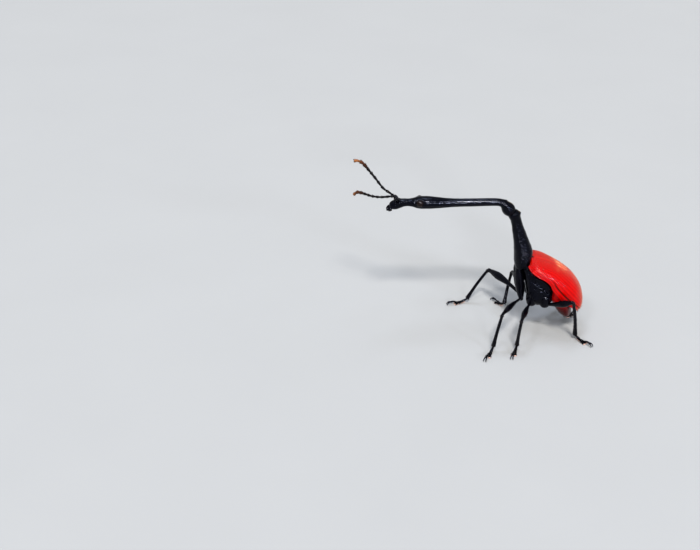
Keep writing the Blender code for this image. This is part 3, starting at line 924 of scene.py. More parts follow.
# %% Carve the neck shield
def shield_relief(points, normals):
    x, y, z = points.T
    body = fade(-z, -10.2, -9.9) * fade(z, 6.1, 6.5)
    waves = np.sin(z * 52 + 9.0 * cloud(points, 0.6, 31) + 3.0 * np.abs(y))
    broken = fade(cloud(points * (0.45, 0.45, 1.0), 0.13, 32), -0.35, 0.75)
    tooth = bump_at(points, (-0.50, 0.0, 10.68), 0.15)
    lower_lobe = bump_at(np.stack([x, np.abs(y), z], -1), (-0.38, 0.62, 6.05), 0.30)
    side_line = ridge_along(points, [(-0.81, 10.1), (-0.45, 8.6), (-0.15, 7.3), (-0.25, 6.3)], 0.06)
    height = 0.021 * waves * broken * body + 0.10 * tooth + 0.03 * lower_lobe
    beads = 0.5 + 0.5 * np.sin(z * 44 + 6 * cloud(points, 0.3, 36))
    height += (0.018 + 0.034 * beads * body) * side_line * fade(np.abs(y), 0.2, 0.4)
    height += -0.026 * pits(points, 0.15, 0.09, 33) * body
    rough_foot = fade(-z, -7.2, -6.5) * fade(np.abs(y), 0.3, 0.6)
    height += -0.030 * pits(points, 0.20, 0.14, 35) * rough_foot
    return height + 0.012 * cloud(points, 0.3, 34)


neck_shield_skin = tubes("neck_shield_skin", [oval_rings(smooth_rows(SHIELD, 460), 150)])
carve(neck_shield_skin, shield_relief)
dress(neck_shield_skin, shell_black, "black_shell", "neck_shield")

# %% [markdown]
# ## The plug at the waist
#
# The neck shield turns on the chest in a ring of soft skin. Seen from the side, that ring closes the
# body between the shield and the wing cases. A short oval plug in black armour fills it. Its ends
# hide inside its neighbours, so a few oval rows and a little unevenness are enough.

# %% Waist plug
WAIST = [
    (0.04, 6.37, 45, 0.02, 0.02),
    (0.05, 6.36, 45, 0.60, 0.70),
    (0.10, 6.30, 45, 0.76, 0.90),
    (0.28, 6.12, 46, 0.66, 0.92),
    (0.60, 5.80, 47, 0.62, 1.00),
    (0.90, 5.50, 48, 0.60, 1.00),
    (0.95, 5.45, 48, 0.02, 0.02),
]
waist_skin = tubes("waist_skin", [oval_rings(smooth_rows(WAIST, 90), 120)])
carve(waist_skin, lambda points, normals: 0.01 * cloud(points, 0.2, 45))
dress(waist_skin, shell_black, "black_shell")

# %% [markdown]
# ## The peg behind the hips
#
# Between the front hips and the chest hangs a short peg of armour. It narrows the slit of light
# behind the hips, as on the animal. A swept tube, thick above and pointed below, is enough.

# %% Hip peg
peg_path = along_path([(0.10, 0, 5.95), (0.04, 0, 5.30), (0.14, 0, 4.70), (0.20, 0, 4.42)], 60)
peg_radii = radii_along(60, [0, 0.04, 0.5, 0.85, 1], [0.02, 0.34, 0.34, 0.20, 0.02])
hip_peg = tubes("hip_peg", [sweep(peg_path, peg_radii, (0, 1, 0), 60)])
carve(hip_peg, lambda points, normals: 0.01 * cloud(points, 0.2, 46))
dress(hip_peg, shell_black, "black_shell")

# %% [markdown]
# ## Sections between a top and a keel
#
# The chest and the hind body are too boxy for ovals, and their sections lean. Each row gives the
# top and the keel of a section, its half width and how far up it is widest. A power on the sine and
# the cosine swells the oval towards a box, and it may differ above and below.


# %% Boxy rings
def bow_section(rows, sides, square=2.2, square_below=2.2):
    """Rings between a top and a keel point, for rows of top, keel, half width and widest level."""
    top_x, top_z, keel_x, keel_z, width, level = np.asarray(rows).T
    turn = np.linspace(0, 2 * np.pi, sides, endpoint=False)
    cos, sin = np.cos(turn), np.sin(turn)
    power = np.where(cos > 0, 2 / square, 2 / square_below)
    rise = np.sign(cos) * np.abs(cos) ** power
    out = np.sign(sin) * np.abs(sin) ** power
    top = np.stack([top_x, 0 * top_x, top_z], -1)
    keel = np.stack([keel_x, 0 * keel_x, keel_z], -1)
    middle = keel + (top - keel) * level[:, None]
    reach = np.where((rise > 0)[None, :, None], (top - middle)[:, None], (middle - keel)[:, None])
    rings = middle[:, None] + reach * rise[None, :, None]
    rings[:, :, 1] += width[:, None] * out[None]
    return rings


print("One boxy section:", bow_section([(0, 1, 0, 0, 1, 0.5)], 8).shape)

# %% [markdown]
# ## The chest
#
# The chest carries the middle and hind legs and holds the flight muscles, so it is deep and boxy.
# Plates meet along grooves, a raised bar runs under the edge of the wing case, and coarse pits
# cover the sides. Relief suits all of them, because the grooves run across the sections.

# %% Chest skin
CHEST = [
    (0.12, 6.10, 0.02, 6.00, 0.10, 0.50),
    (0.16, 6.16, -0.06, 5.92, 0.50, 0.50),
    (0.28, 6.16, 0.00, 5.84, 0.82, 0.50),
    (0.50, 6.14, 0.02, 5.66, 1.02, 0.50),
    (0.90, 6.02, 0.12, 5.20, 1.22, 0.50),
    (1.28, 5.90, 0.24, 4.60, 1.42, 0.46),
    (1.62, 5.74, 0.36, 3.85, 1.58, 0.40),
    (1.92, 5.60, 0.58, 3.10, 1.69, 0.38),
    (2.12, 5.50, 1.00, 2.72, 1.70, 0.38),
    (2.26, 5.40, 1.55, 2.62, 1.66, 0.38),
    (2.40, 5.25, 2.10, 2.68, 1.58, 0.38),
    (2.50, 5.00, 2.46, 2.95, 1.38, 0.40),
    (2.56, 4.60, 2.56, 3.30, 0.90, 0.45),
    (2.58, 4.00, 2.58, 3.90, 0.05, 0.50),
]
print("The chest has", len(CHEST), "rows")


# %% Carve the chest
def chest_relief(points, normals):
    x, y, z = points.T
    side = fade(np.abs(y), 0.5, 0.9)
    bar = ridge_along(points, [(1.05, 5.34), (1.50, 5.12), (1.90, 4.82), (2.16, 4.52)], 0.15)
    knob = bump_at(np.stack([x, np.abs(y), z], -1), (2.16, 1.60, 4.55), 0.20)
    under_bar = ridge_along(points, [(0.85, 5.02), (1.30, 4.78), (1.70, 4.46), (2.08, 4.08)], 0.06)
    seams = ridge_along(points, [(0.50, 4.62), (1.00, 4.50), (1.45, 4.35), (1.85, 4.00)], 0.045)
    seams = np.maximum(seams, ridge_along(points, [(0.95, 5.1), (0.78, 4.2), (0.72, 3.3)], 0.045))
    seams = np.maximum(seams, ridge_along(points, [(1.75, 4.5), (1.70, 3.8), (1.85, 3.2)], 0.045))
    coarse = pits(points, 0.26, 0.19, 41)
    fine = pits(points, 0.11, 0.07, 42)
    height = 0.17 * bar * side + 0.07 * knob - 0.060 * under_bar * side - 0.035 * seams * side
    height += -0.040 * coarse * (0.5 + 0.5 * side) * (1 - 0.8 * bar) - 0.012 * fine * (1 - 0.5 * bar)
    return height + 0.020 * cloud(points, 0.45, 43) + 0.006 * cloud(points, 0.12, 44)


chest_skin = tubes("chest_skin", [bow_section(smooth_rows(CHEST, 300), 280, 2.2, 3.2)])
carve(chest_skin, chest_relief)
dress(chest_skin, shell_black, "black_shell", "chest")

# %% [markdown]
# ## The hind body
#
# Under the wing cases lies the soft hind body. From below it shows as a row of hard plates that
# overlap like roof tiles, each a little step down to the next. We measure how far each point lies
# towards the tail and let the height climb and drop with it, like the teeth of a saw.

# %% Hind body skin
HIND_BODY = [
    (2.28, 4.60, 2.28, 3.40, 0.60, 0.42),
    (2.34, 4.80, 2.34, 2.98, 1.22, 0.40),
    (2.54, 4.90, 2.52, 2.80, 1.54, 0.42),
    (2.80, 4.92, 2.66, 2.62, 1.68, 0.42),
    (3.12, 4.78, 2.82, 2.26, 1.80, 0.44),
    (3.46, 4.48, 3.06, 1.89, 1.88, 0.44),
    (3.74, 4.08, 3.32, 1.64, 1.82, 0.44),
    (3.95, 3.62, 3.57, 1.44, 1.64, 0.42),
    (4.07, 3.14, 3.80, 1.31, 1.36, 0.42),
    (4.14, 2.68, 4.03, 1.30, 0.98, 0.44),
    (4.20, 2.32, 4.20, 1.44, 0.68, 0.50),
    (4.26, 2.04, 4.28, 1.68, 0.36, 0.50),
    (4.29, 1.90, 4.30, 1.82, 0.05, 0.50),
]
PLATE_ENDS = (0.0, 0.30, 0.52, 0.68, 0.82, 1.01)
print("Plates along the belly:", len(PLATE_ENDS) - 1)


# %% Carve and shade the hind body
def hind_body_relief(points, normals):
    x, y, z = points.T
    tailward = (x - 2.6) * 0.62 + (3.2 - z) * 0.78
    share = np.clip((tailward + 0.6) / 3.0, 0, 1)
    step = np.zeros(len(x))
    for start, end in zip(PLATE_ENDS[:-1], PLATE_ENDS[1:]):
        inside = (share >= start) & (share < end)
        t = (share - start) / (end - start)
        step = np.where(inside, fade(t, 0.0, 0.10) * (0.55 + 0.45 * t), step)
    height = 0.055 * (step - 1) - 0.014 * pits(points, 0.13, 0.08, 51)
    return height + 0.012 * cloud(points, 0.4, 52)


hind_body_skin = tubes("hind_body_skin", [bow_section(smooth_rows(HIND_BODY, 320), 200)])
carve(hind_body_skin, hind_body_relief)
belly_points, _ = read_points(hind_body_skin)
# Painted shade by height: near 1 high on the flanks for bright red, near 0 low down for dark red.
painted_light_by_height = fade(belly_points[:, 2] + 0.15 * cloud(belly_points, 0.4, 53), 2.2, 3.3)
store(hind_body_skin, "painted_light_by_height", painted_light_by_height)
dress(hind_body_skin, under_red, "dark_red_shell", "hind_body")

# %% [markdown]
# ## The tail plate
#
# Behind the last belly plate a small domed plate closes the body under the tips of the wing cases.
# Without it one would look up into a hollow. It is one more row of sections between a top and a
# keel. It stores no height number, so the painted shade of its material gives it the darkest red.

# %% Tail plate
TAIL_PLATE = [
    (4.02, 3.00, 4.02, 2.60, 0.20, 0.50),
    (4.10, 3.10, 4.10, 2.42, 0.62, 0.50),
    (4.30, 3.05, 4.30, 2.28, 0.84, 0.50),
    (4.52, 2.85, 4.52, 2.20, 0.82, 0.50),
    (4.68, 2.62, 4.68, 2.18, 0.64, 0.50),
    (4.78, 2.42, 4.78, 2.20, 0.38, 0.50),
    (4.81, 2.32, 4.81, 2.26, 0.05, 0.50),
]
tail_plate = tubes("tail_plate", [bow_section(smooth_rows(TAIL_PLATE, 90), 90)])
carve(tail_plate, lambda points, normals: -0.012 * pits(points, 0.11, 0.07, 54))
dress(tail_plate, under_red, "dark_red_shell")

# %% [markdown]
# ## Wing cases
#
# The red wing cases are a beetle's front wings, hardened into two bowls that meet in a straight
# seam. We build the outer surface as an open net, one row of points for every step along the back,
# spaced evenly from the seam to the lower edge. Each row of numbers gives the distance along the
# back, the height of the seam, the height where the bowl is widest, its half width there, how boxy
# it is and where its lower edge lies.

# %% Rows of a wing case
BACK_START = (0.75, 6.7)
BACK_SLOPE = math.radians(48.9)
WING_CASES = [
    (-0.03, -0.16, -0.42, 1.18, 2.2, -0.52),
    (0.00, -0.04, -0.36, 1.32, 2.2, -0.53),
    (0.10, 0.05, -0.29, 1.46, 2.3, -0.53),
    (0.36, 0.30, -0.20, 1.80, 2.4, -0.50),
    (0.90, 0.66, -0.06, 2.04, 2.35, -0.34),
    (1.60, 1.02, 0.10, 2.10, 2.2, -0.08),
    (2.20, 1.25, 0.21, 2.12, 2.1, -0.04),
    (2.60, 1.37, 0.27, 2.13, 2.1, -0.16),
    (3.40, 1.51, 0.35, 2.14, 2.1, -0.22),
    (4.30, 1.49, 0.38, 2.08, 2.1, -0.18),
    (5.00, 1.29, 0.34, 1.88, 2.0, -0.06),
    (5.60, 0.95, 0.26, 1.52, 2.0, 0.02),
    (6.00, 0.59, 0.18, 1.08, 2.0, -0.02),
    (6.20, 0.34, 0.10, 0.70, 2.0, -0.07),
    (6.29, 0.17, 0.04, 0.38, 2.0, -0.09),
    (6.32, 0.04, 0.00, 0.12, 2.0, -0.10),
]
SEAM_GAP = 0.02
THICKNESS = 0.13
ROWS_LONG, ROWS_ACROSS = 300, 164
print("Rows of a wing case:", len(WING_CASES))


# %% Wing case net
def on_back(along, height):
    """x and z of points given along the sloping back and at right angles to it."""
    cos, sin = math.cos(BACK_SLOPE), math.sin(BACK_SLOPE)
    return BACK_START[0] + along * cos + height * sin, BACK_START[1] - along * sin + height * cos


def edge_line(back, ridge, width, square, edge):
    """Distances from the seam and heights of one section, from the seam down to the lower edge."""
    turn = np.linspace(0, np.pi * 0.86, 700)
    rise = np.sign(np.cos(turn)) * np.abs(np.cos(turn)) ** (2 / square)
    out = np.abs(np.sin(turn)) ** (2 / square)
    height = np.where(rise > 0, ridge + (back - ridge) * rise, ridge + 2.0 * rise)
    keep = height >= min(edge, ridge - 0.01)
    return width * out[keep], height[keep]


def wing_case_net(side):
    """The outer surface of one wing case as a net of points."""
    net = np.zeros((ROWS_LONG, ROWS_ACROSS, 3))
    for i, (along, *section) in enumerate(smooth_rows(WING_CASES, ROWS_LONG)):
        across, height = edge_line(*section)
        steps = np.concatenate([[0], np.cumsum(np.hypot(np.diff(across), np.diff(height)))])
        even = np.linspace(np.interp(SEAM_GAP, across[:50], steps[:50]), steps[-1], ROWS_ACROSS)
        x, z = on_back(along, np.interp(even, steps, height))
        net[i] = np.stack([x, side * np.interp(even, steps, across), z], -1)
    return net


print("The net of a wing case has", ROWS_LONG * ROWS_ACROSS, "points")

# %% [markdown]
# ## The block under the shoulders
#
# At the front, the real body lies close under the two bowls. A dark block fills them there, or one
# would look into an empty shell from the side. It follows the same slope as the wing cases, so
# its rows give the distance along the back, the heights of its top and its keel, and its half width.

# %% Shoulder block
SHOULDERS = [
    (0.02, -0.30, -0.40, 0.10),
    (0.08, -0.20, -0.49, 1.12),
    (0.30, 0.05, -0.49, 1.54),
    (0.70, 0.32, -0.40, 1.79),
    (1.20, 0.58, -0.22, 1.88),
    (1.60, 0.76, 0.00, 1.90),
    (2.20, 0.84, 0.06, 1.90),
    (2.60, 0.84, 0.06, 1.88),
    (2.90, 0.70, 0.20, 1.20),
    (2.95, 0.60, 0.40, 0.10),
]
shoulder_rows = [
    (*on_back(along, top), *on_back(along, keel), width, 0.45) for along, top, keel, width in SHOULDERS
]
shoulder_block = tubes("shoulder_block", [bow_section(smooth_rows(shoulder_rows, 110), 160, 2.3, 2.6)])
carve(shoulder_block, lambda points, normals: -0.02 * pits(points, 0.2, 0.13, 66))
dress(shoulder_block, shell_black, "black_shell")

# %% [markdown]
# ## Furrows and pits in rows
#
# Each wing case carries ten fine furrows with a row of pits in each, coarser near the shoulder. The
# pits follow the furrows, so their pattern belongs to the surface itself and not to space. We use
# the share across, from the seam to the edge, and the distance along. Ten furrows split the share,
# and within each one a row of pits repeats every sixth of a millimetre. The same numbers paint shade
# into the red where a furrow or pit is deep.

# %% Relief of the wing cases
FURROWS = 10
PIT_STEP = 0.165
LANE_WIDTH = 0.34
CASE_LENGTH = 6.35


def furrows_and_pits(along, across_share, points):
    """From 0 to 1 at every point: a furrow, a round pit in it, and a broad wave from furrow to furrow."""
    lane = across_share * (FURROWS + 0.5)
    offset = lane - np.round(lane)
    inner = fade(lane, 0.4, 0.8) * fade(-lane, -(FURROWS + 0.35), -(FURROWS - 0.1))
    furrow = np.exp(-((offset / 0.16) ** 2)) * inner
    beat = along / PIT_STEP + 0.37 * np.round(lane) + 0.10 * cloud(points, 0.5, 61)
    beat_offset = beat - np.round(beat)
    away = (offset * LANE_WIDTH / 0.055) ** 2
    round_pit = np.exp(-away - (beat_offset * PIT_STEP / 0.05) ** 2) * inner
    swell = np.cos(offset * np.pi) ** 2
    return furrow, round_pit, swell * inner


def wing_case_relief(long_share, across_share, points):
    """Height in millimetres and painted shade from 0 to 1 for every point of a wing case."""
    along = long_share * CASE_LENGTH
    furrow, round_pit, swell = furrows_and_pits(along, across_share, points)
    base = fade(-along, -2.1, -0.5)
    outer = fade(across_share, 0.45, 0.75)
    rough = np.clip(base * (0.35 + 0.65 * outer) + 0.35 * outer * fade(-along, -4.0, -1.0), 0, 1)
    coarse = pits(points, 0.23, 0.17, 62)
    seam = np.exp(-((across_share / 0.018) ** 2))
    rim = np.exp(-(((1 - across_share) / 0.03) ** 2))
    from_fold = across_share - (0.870 - 0.012 * fade(along, 2.4, 4.5))
    fold = np.exp(-((from_fold / 0.026) ** 2)) * fade(along, 1.8, 2.8) * fade(-along, -6.2, -5.6)
    height = -0.012 * furrow - (0.010 + 0.02 * rough) * round_pit * (1 - 0.5 * rough)
    rough = rough * fade(across_share, 0.02, 0.10)
    height += -0.055 * coarse * rough + 0.008 * swell + 0.012 * seam + 0.025 * rim - 0.080 * fold
    height += 0.018 * cloud(points, 0.8, 63) + 0.004 * cloud(points, 0.15, 64)
    height *= 0.25 + 0.75 * fade(-along, -6.30, -6.05)
    tail = fade(along, 5.2, 6.3)
    # Painted shade: darker red in pits, furrows and the crease, at the tail and near the lower edge; the
    # cloud is random tone.
    shade = 0.97 - 0.22 * round_pit - 0.18 * furrow - 0.34 * coarse * rough - 0.50 * fold
    shade += -0.30 * tail - 0.10 * fade(across_share, 0.9, 1.0) + 0.08 * cloud(points, 0.9, 65)
    return height, np.clip(shade, 0, 1)


print("Pits in one furrow: about", round(CASE_LENGTH / PIT_STEP))

# %% [markdown]
# ## From a net to a shell
#
# The net is one sheet of faces. Its normals must look outwards before we carve, so we ask one point
# in the middle and turn all of them if needed. After carving, no point may cross the seam into the
# other wing case. Solidify then gives the sheet its thickness, inwards only.


# %% Make both wing cases
def shares_of(net):
    """For each point of the net, its share of the way along and of the way across."""
    steps = np.linalg.norm(np.diff(net[:, ROWS_ACROSS // 2], axis=0), axis=1)
    travelled = np.concatenate([[0], np.cumsum(steps)]) / steps.sum()
    return np.repeat(travelled, ROWS_ACROSS), np.tile(np.linspace(0, 1, ROWS_ACROSS), ROWS_LONG)


def make_wing_case(side, word):
    net = wing_case_net(side)
    faces = ring_faces(ROWS_LONG, ROWS_ACROSS, closed=False)
    if side == RIGHT:
        faces = faces[:, ::-1]
    case = new_piece("wing_case_shell_" + word, net.reshape(-1, 3), faces.tolist())
    points, normals = read_points(case)
    outward = normals[ROWS_LONG // 2 * ROWS_ACROSS + ROWS_ACROSS // 2]
    if outward @ np.array([0.75, side * 0.5, 0.66]) < 0:
        case.data.flip_normals()
    height, shade = wing_case_relief(*shares_of(net), points)
    carve(case, lambda *_: height)
    points, _ = read_points(case)
    points[:, 1] = side * np.maximum(side * points[:, 1], SEAM_GAP)
    case.data.vertices.foreach_set("co", in_scene(points).ravel())
    # The painted shade goes to the mesh for the red lacquer to read.
    store(case, "shade", shade)
    thick = case.modifiers.new("thickness", "SOLIDIFY")
    thick.thickness = THICKNESS * MM
    thick.offset = -1.0
    return dress(case, wing_red, "red_shell", "wing_case_" + word)


wing_cases = [make_wing_case(LEFT, "left"), make_wing_case(RIGHT, "right")]

# %% [markdown]
# ## The little shield between the wing cases
#
# Where the two wing cases meet at the front, a small black triangle shows: the scutellum. It is a
# shallow domed plate. A short swept tube, wide at the front and pointed at the back, makes it
# once it is pressed flat against the slope of the back.

# %% Scutellum
PLATE_SPOTS = [(-0.16, -0.22), (0.02, -0.06), (0.18, 0.06), (0.34, 0.20)]
PLATE_RADII = [0, 0.05, 0.3, 0.7, 0.95, 1], [0.02, 0.14, 0.16, 0.10, 0.035, 0.005]
PRESS = 0.65
spots = [on_back(along, height) for along, height in PLATE_SPOTS]
plate_path = along_path([(x, 0.0, z) for x, z in spots], 60)
plate = sweep(plate_path, radii_along(60, *PLATE_RADII), (0, 1, 0), 40)
middle = plate.mean(1, keepdims=True)
lean = np.array([0.753, 0, 0.657])
plate = plate - ((plate - middle) @ lean)[:, :, None] * lean * PRESS
scutellum = tubes("scutellum", [plate])
carve(scutellum, lambda points, normals: -0.012 * pits(points, 0.09, 0.06, 71))
dress(scutellum, shell_black, "black_shell")

# %% [markdown]
# ## Legs
#
# An insect's leg is a chain of stiff tubes: hip, a small ring, thigh, shin and a foot of short
# joints. The thighs are clubs, thin at the root and thickest past the middle, where the muscle is.
# The shins are thin and a little ridged, flare at the end and carry a spur. Each leg below is a
# list of such tubes, placed by the same joints as in the solids.

# %% Leg joints
SHIN_END = 0.46
LEG_JOINTS = {
    "leg_front_left": [
        (0.00, -0.48, 3.00), (-1.92, -4.31, 3.61), (-2.50, -4.02, SHIN_END), (-3.36, -5.87, 0.0),
    ],
    "leg_front_right": [
        (-0.05, 0.48, 3.00), (-2.38, 4.12, 3.29), (-4.10, 4.14, SHIN_END), (-5.92, 3.68, 0.0),
    ],
    "leg_middle_left": [
        (0.72, -1.05, 2.94), (-0.38, -4.66, 3.24), (-0.55, -3.84, SHIN_END), (-1.12, -5.52, 0.0),
    ],
    "leg_middle_right": [
        (0.72, 1.05, 2.94), (-0.27, 4.73, 2.78), (-0.94, 3.26, SHIN_END), (-1.98, 4.68, 0.0),
    ],
    "leg_hind_left": [
        (1.85, -1.30, 2.90), (3.92, -3.32, 4.18), (4.46, -2.08, SHIN_END), (5.75, -3.53, 0.0),
    ],
    "leg_hind_right": [
        (1.85, 1.30, 2.90), (4.02, 3.60, 3.12), (4.07, 1.10, SHIN_END), (5.28, 2.58, 0.0),
    ],
}
print("Knee of the left front leg:", LEG_JOINTS["leg_front_left"][1])

# %% Leg profiles
THIGH = [
    (0.0, 0.02), (0.01, 0.09), (0.05, 0.125), (0.16, 0.135), (0.30, 0.16), (0.46, 0.24),
    (0.60, 0.30), (0.70, 0.31), (0.80, 0.26), (0.90, 0.18), (0.96, 0.165), (0.995, 0.12), (1.0, 0.02),
]
SHIN = [
    (0.0, 0.02), (0.01, 0.10), (0.04, 0.135), (0.10, 0.12), (0.30, 0.125), (0.55, 0.13),
    (0.78, 0.14), (0.92, 0.17), (0.98, 0.18), (0.995, 0.12), (1.0, 0.02),
]
FOOT_JOINT = [(0.0, 0.3), (0.03, 0.5), (0.15, 0.6), (0.5, 0.78), (0.85, 1.0), (0.96, 0.85), (1.0, 0.1)]
THIGH_WIDTH = {
    "front_left": 0.86, "front_right": 1.04, "middle_left": 0.86,
    "middle_right": 0.90, "hind_left": 0.98, "hind_right": 0.98,
}


def scaled(profile, factor):
    """The same profile, thicker or thinner."""
    return [(place, radius * factor) for place, radius in profile]


def unit(vector):
    vector = np.array(vector, float)
    return vector / np.linalg.norm(vector)


print("Thickest part of a thigh:", max(radius for _, radius in THIGH) * 2, "mm")

# %% [markdown]
# ## The foot
#
# The foot has three short joints, the third split into two lobes, and then a thin claw joint that
# rises between the lobes and ends in two curved claws. Under the joints lie pale soles of short
# dense hair, which hold on smooth ground. The foot runs from the end of the shin to the point
# where the claws touch the floor, so we place everything by the share of that way, the distance
# to the side and the height.


# %% A ruler for the foot
class Foot:
    """Measures forwards from the ankle to the claws, sideways and up."""

    def __init__(self, ankle, claw):
        run = np.array(claw, float) - np.array(ankle, float)
        run[2] = 0.0
        self.length = np.linalg.norm(run)
        self.ahead = run / self.length
        self.beside = np.cross(self.ahead, (0, 0, 1))
        self.base = np.array([ankle[0], ankle[1], 0.0])

    def at(self, forward, sideways, up):
        step = self.ahead * forward * self.length + self.beside * sideways
        return self.base + step + np.array([0, 0, up])

    def toe(self, start, end, radius, flatten):
        """One short joint of the foot between two places, with its shape pressed wide."""
        ends = self.at(*start), self.at(*end)
        profile = scaled(FOOT_JOINT, radius)
        return limb(*ends, profile, self.beside, 30, 46, flatten=flatten)

    def bent(self, places, profile, sides):
        """A bent tube through some places, with a profile of places from 0 to 1 and radii."""
        path = along_path([self.at(*place) for place in places], 60)
        return sweep(path, radii_along(60, *profile), self.beside, sides)


print("A foot is measured from its ankle")

# %% Joints, soles and claws
CLAW_JOINT_RADII = [0, 0.05, 0.4, 0.85, 0.97, 1], [0.02, 0.05, 0.055, 0.085, 0.07, 0.01]
CLAW_RADII = [0, 0.06, 0.4, 0.8, 1], [0.02, 0.055, 0.05, 0.03, 0.006]
CLAW_JOINT = [(0.44, 0, 0.15), (0.54, 0, 0.25), (0.68, 0, 0.32), (0.80, 0, 0.29)]
CLAW = [(0.76, 0.03, 0.29), (0.86, 0.07, 0.31), (0.95, 0.10, 0.20), (0.975, 0.10, 0.025)]


def foot_tubes(ankle, claw):
    """Rings of the dark joints, of the soles and of the claws of one foot."""
    foot = Foot(ankle, claw)
    joints = [foot.toe((-0.02, 0, SHIN_END), (0.26, 0, 0.20), 0.105, 1.2)]
    joints.append(foot.toe((0.22, 0, 0.21), (0.42, 0, 0.15), 0.115, 1.5))
    soles = [foot.toe((0.10, 0, 0.17), (0.30, 0, 0.075), 0.06, 1.5)]
    soles.append(foot.toe((0.24, 0, 0.115), (0.44, 0, 0.07), 0.055, 1.9))
    claws = []
    for side in (LEFT, RIGHT):
        joints.append(foot.toe((0.37, 0.05 * side, 0.16), (0.60, 0.15 * side, 0.115), 0.10, 1.1))
        soles.append(foot.toe((0.40, 0.06 * side, 0.075), (0.63, 0.15 * side, 0.065), 0.05, 2.0))
        claws.append(foot.bent(mirrored(CLAW, side), CLAW_RADII, 22))
    joints.append(foot.bent(CLAW_JOINT, CLAW_JOINT_RADII, 28))
    return joints, soles, claws


print("Dark joints in a foot:", len(foot_tubes((0, 0, SHIN_END), (1.5, 0, 0))[0]))

# %% [markdown]
# ## Hips
#
# The hips of the front legs are long and hang down beside the neck shield, almost like a second
# thigh. Those of the middle and hind legs are balls sunk into the chest, so only their lower
# end shows. Both are limbs with a profile of their own.

# %% Hips
FRONT_HIP_TOP = (-0.38, 0.50, 5.95)
LONG_HIP = [
    (0, 0.03), (0.03, 0.20), (0.14, 0.33), (0.35, 0.38), (0.6, 0.37),
    (0.82, 0.29), (0.95, 0.20), (0.99, 0.12), (1, 0.02),
]
SUNKEN_HIP = [
    (0, 0.03), (0.04, 0.32), (0.2, 0.54), (0.55, 0.52), (0.8, 0.40), (0.93, 0.27), (0.99, 0.12), (1, 0.02),
]


def hip_rings(name, hip):
    """The long hip of a front leg, or the sunken ball of another."""
    side = LEFT if name.endswith("left") else RIGHT
    if "front" in name:
        top = np.array([FRONT_HIP_TOP[0], FRONT_HIP_TOP[1] * side, FRONT_HIP_TOP[2]])
        return limb(top, np.array(hip) - (0, 0, 0.10), LONG_HIP, (0, 1, 0), 60, 150)
    inner = np.array([hip[0] + (0.25 if "middle" in name else 0.05), hip[1] - 0.12 * side, hip[2] + 0.95])
    outer = np.array([hip[0], hip[1] + 0.06 * side, hip[2] - 0.30])
    return limb(inner, outer, SUNKEN_HIP, (0, 1, 0), 60, 110)


def leg_relief(points, normals):
    x, y, z = points.T
    hip_top = fade(z, 4.2, 5.0) * fade(0.8 - np.abs(x), 0.0, 0.2)
    fine = -0.008 * pits(points, 0.10, 0.06, 81) - 0.030 * pits(points, 0.17, 0.12, 84) * hip_top
    return fine + 0.008 * cloud(points, 0.25, 82) + 0.003 * cloud(points, 0.07, 83)


print("Rings in a long hip:", len(hip_rings("leg_front_left", LEG_JOINTS["leg_front_left"][0])))

# %% [markdown]
# ## Six whole legs
#
# Thigh and shin bend in one plane, and the cross product of their directions stands upright on it.
# We give it to the sweeps as the vector beside the path, so the flat sides of all tubes in a leg
# agree. The rings are kept by name, because the bristles will grow on them.


# %% Tubes of a leg
def leg_tubes(name, hip, knee, ankle):
    """Thigh, shin, the small ring at the hip and the spur of one leg."""
    plane = np.cross(unit(np.subtract(knee, hip)), unit(np.subtract(ankle, knee)))
    hind = "hind" in name
    claw = LEG_JOINTS[name][3]
    outward = unit([claw[0] - hip[0], claw[1] - hip[1], 0])
    bow = -0.03 if hind else 0.03
    thigh = limb(hip, knee, scaled(THIGH, THIGH_WIDTH[name[4:]]), plane, 48, 170, bow, flatten=0.9)
    shin_profile = scaled(SHIN, 1.1 if hind else 1.0)
    shin = limb(knee, ankle, shin_profile, plane, 40, 150, 0.02, outward, ridges=0.035)
    ring = dome_rings(hip, (0.19, 0.19, 0.19), 30, 40)
    root = np.array(ankle) + (0, 0, 0.10)
    spur_ends = root - 0.06 * outward, root - 0.17 * outward - (0, 0, 0.24)
    spur = limb(*spur_ends, cone_profile(0.045, 0.015), plane, 16, 30)
    return thigh, shin, ring, spur


print("Legs to make:", len(LEG_JOINTS))

# %% Make the legs
leg_rings = {}
for name, (hip, knee, ankle, claw) in LEG_JOINTS.items():
    thigh, shin, ring, spur = leg_tubes(name, hip, knee, ankle)
    joints, soles, claws = foot_tubes(ankle, claw)
    leg_rings[name] = {"thigh": thigh, "shin": shin, "joints": joints}
    limb_piece = tubes("limb_" + name, [hip_rings(name, hip), ring, thigh, shin, spur, *joints])
    carve(limb_piece, leg_relief)
    dress(limb_piece, leg_black, "black_shell", name)
    sole_piece = tubes("soles_" + name, soles)
    carve(sole_piece, lambda points, normals: 0.008 * cloud(points, 0.03, 85))
    dress(sole_piece, sole_felt, "black_shell")
    dress(tubes("claws_" + name, claws), shell_black, "black_shell")

# %% [markdown]
# ## Bristles
#
# Short stiff hairs stand on the legs and feelers, and a few longer ones at the tail. Hair systems
# don't survive export, so each bristle is a solid cone with four sides, a little bent in the middle.
# Every bristle also gets a small patch in a UV map, at the place of its root on the limb, so that
# a baked picture can hold its colour.

# %% The shape of a bristle
CORNERS = ((1, 0), (0, 1), (-1, 0), (0, -1))
BRISTLE_POINTS = 9
BRISTLE_FACES = [(3, 2, 1, 0)]
BRISTLE_FACES += [(i, (i + 1) % 4, (i + 1) % 4 + 4, i + 4) for i in range(4)]
BRISTLE_FACES += [(i + 4, (i + 1) % 4 + 4, 8) for i in range(4)]
UV_SPREAD = np.array([(0, 0), (3, 0), (3, 3), (0, 3), (1, 1), (2, 1), (2, 2), (1, 2), (1.5, 1.5)]) / 1000
LOWEST_ROOT, LOWEST_TIP, FARTHEST_TIP = 0.05, 0.03, -14.08
print("A bristle has", len(BRISTLE_FACES), "faces")


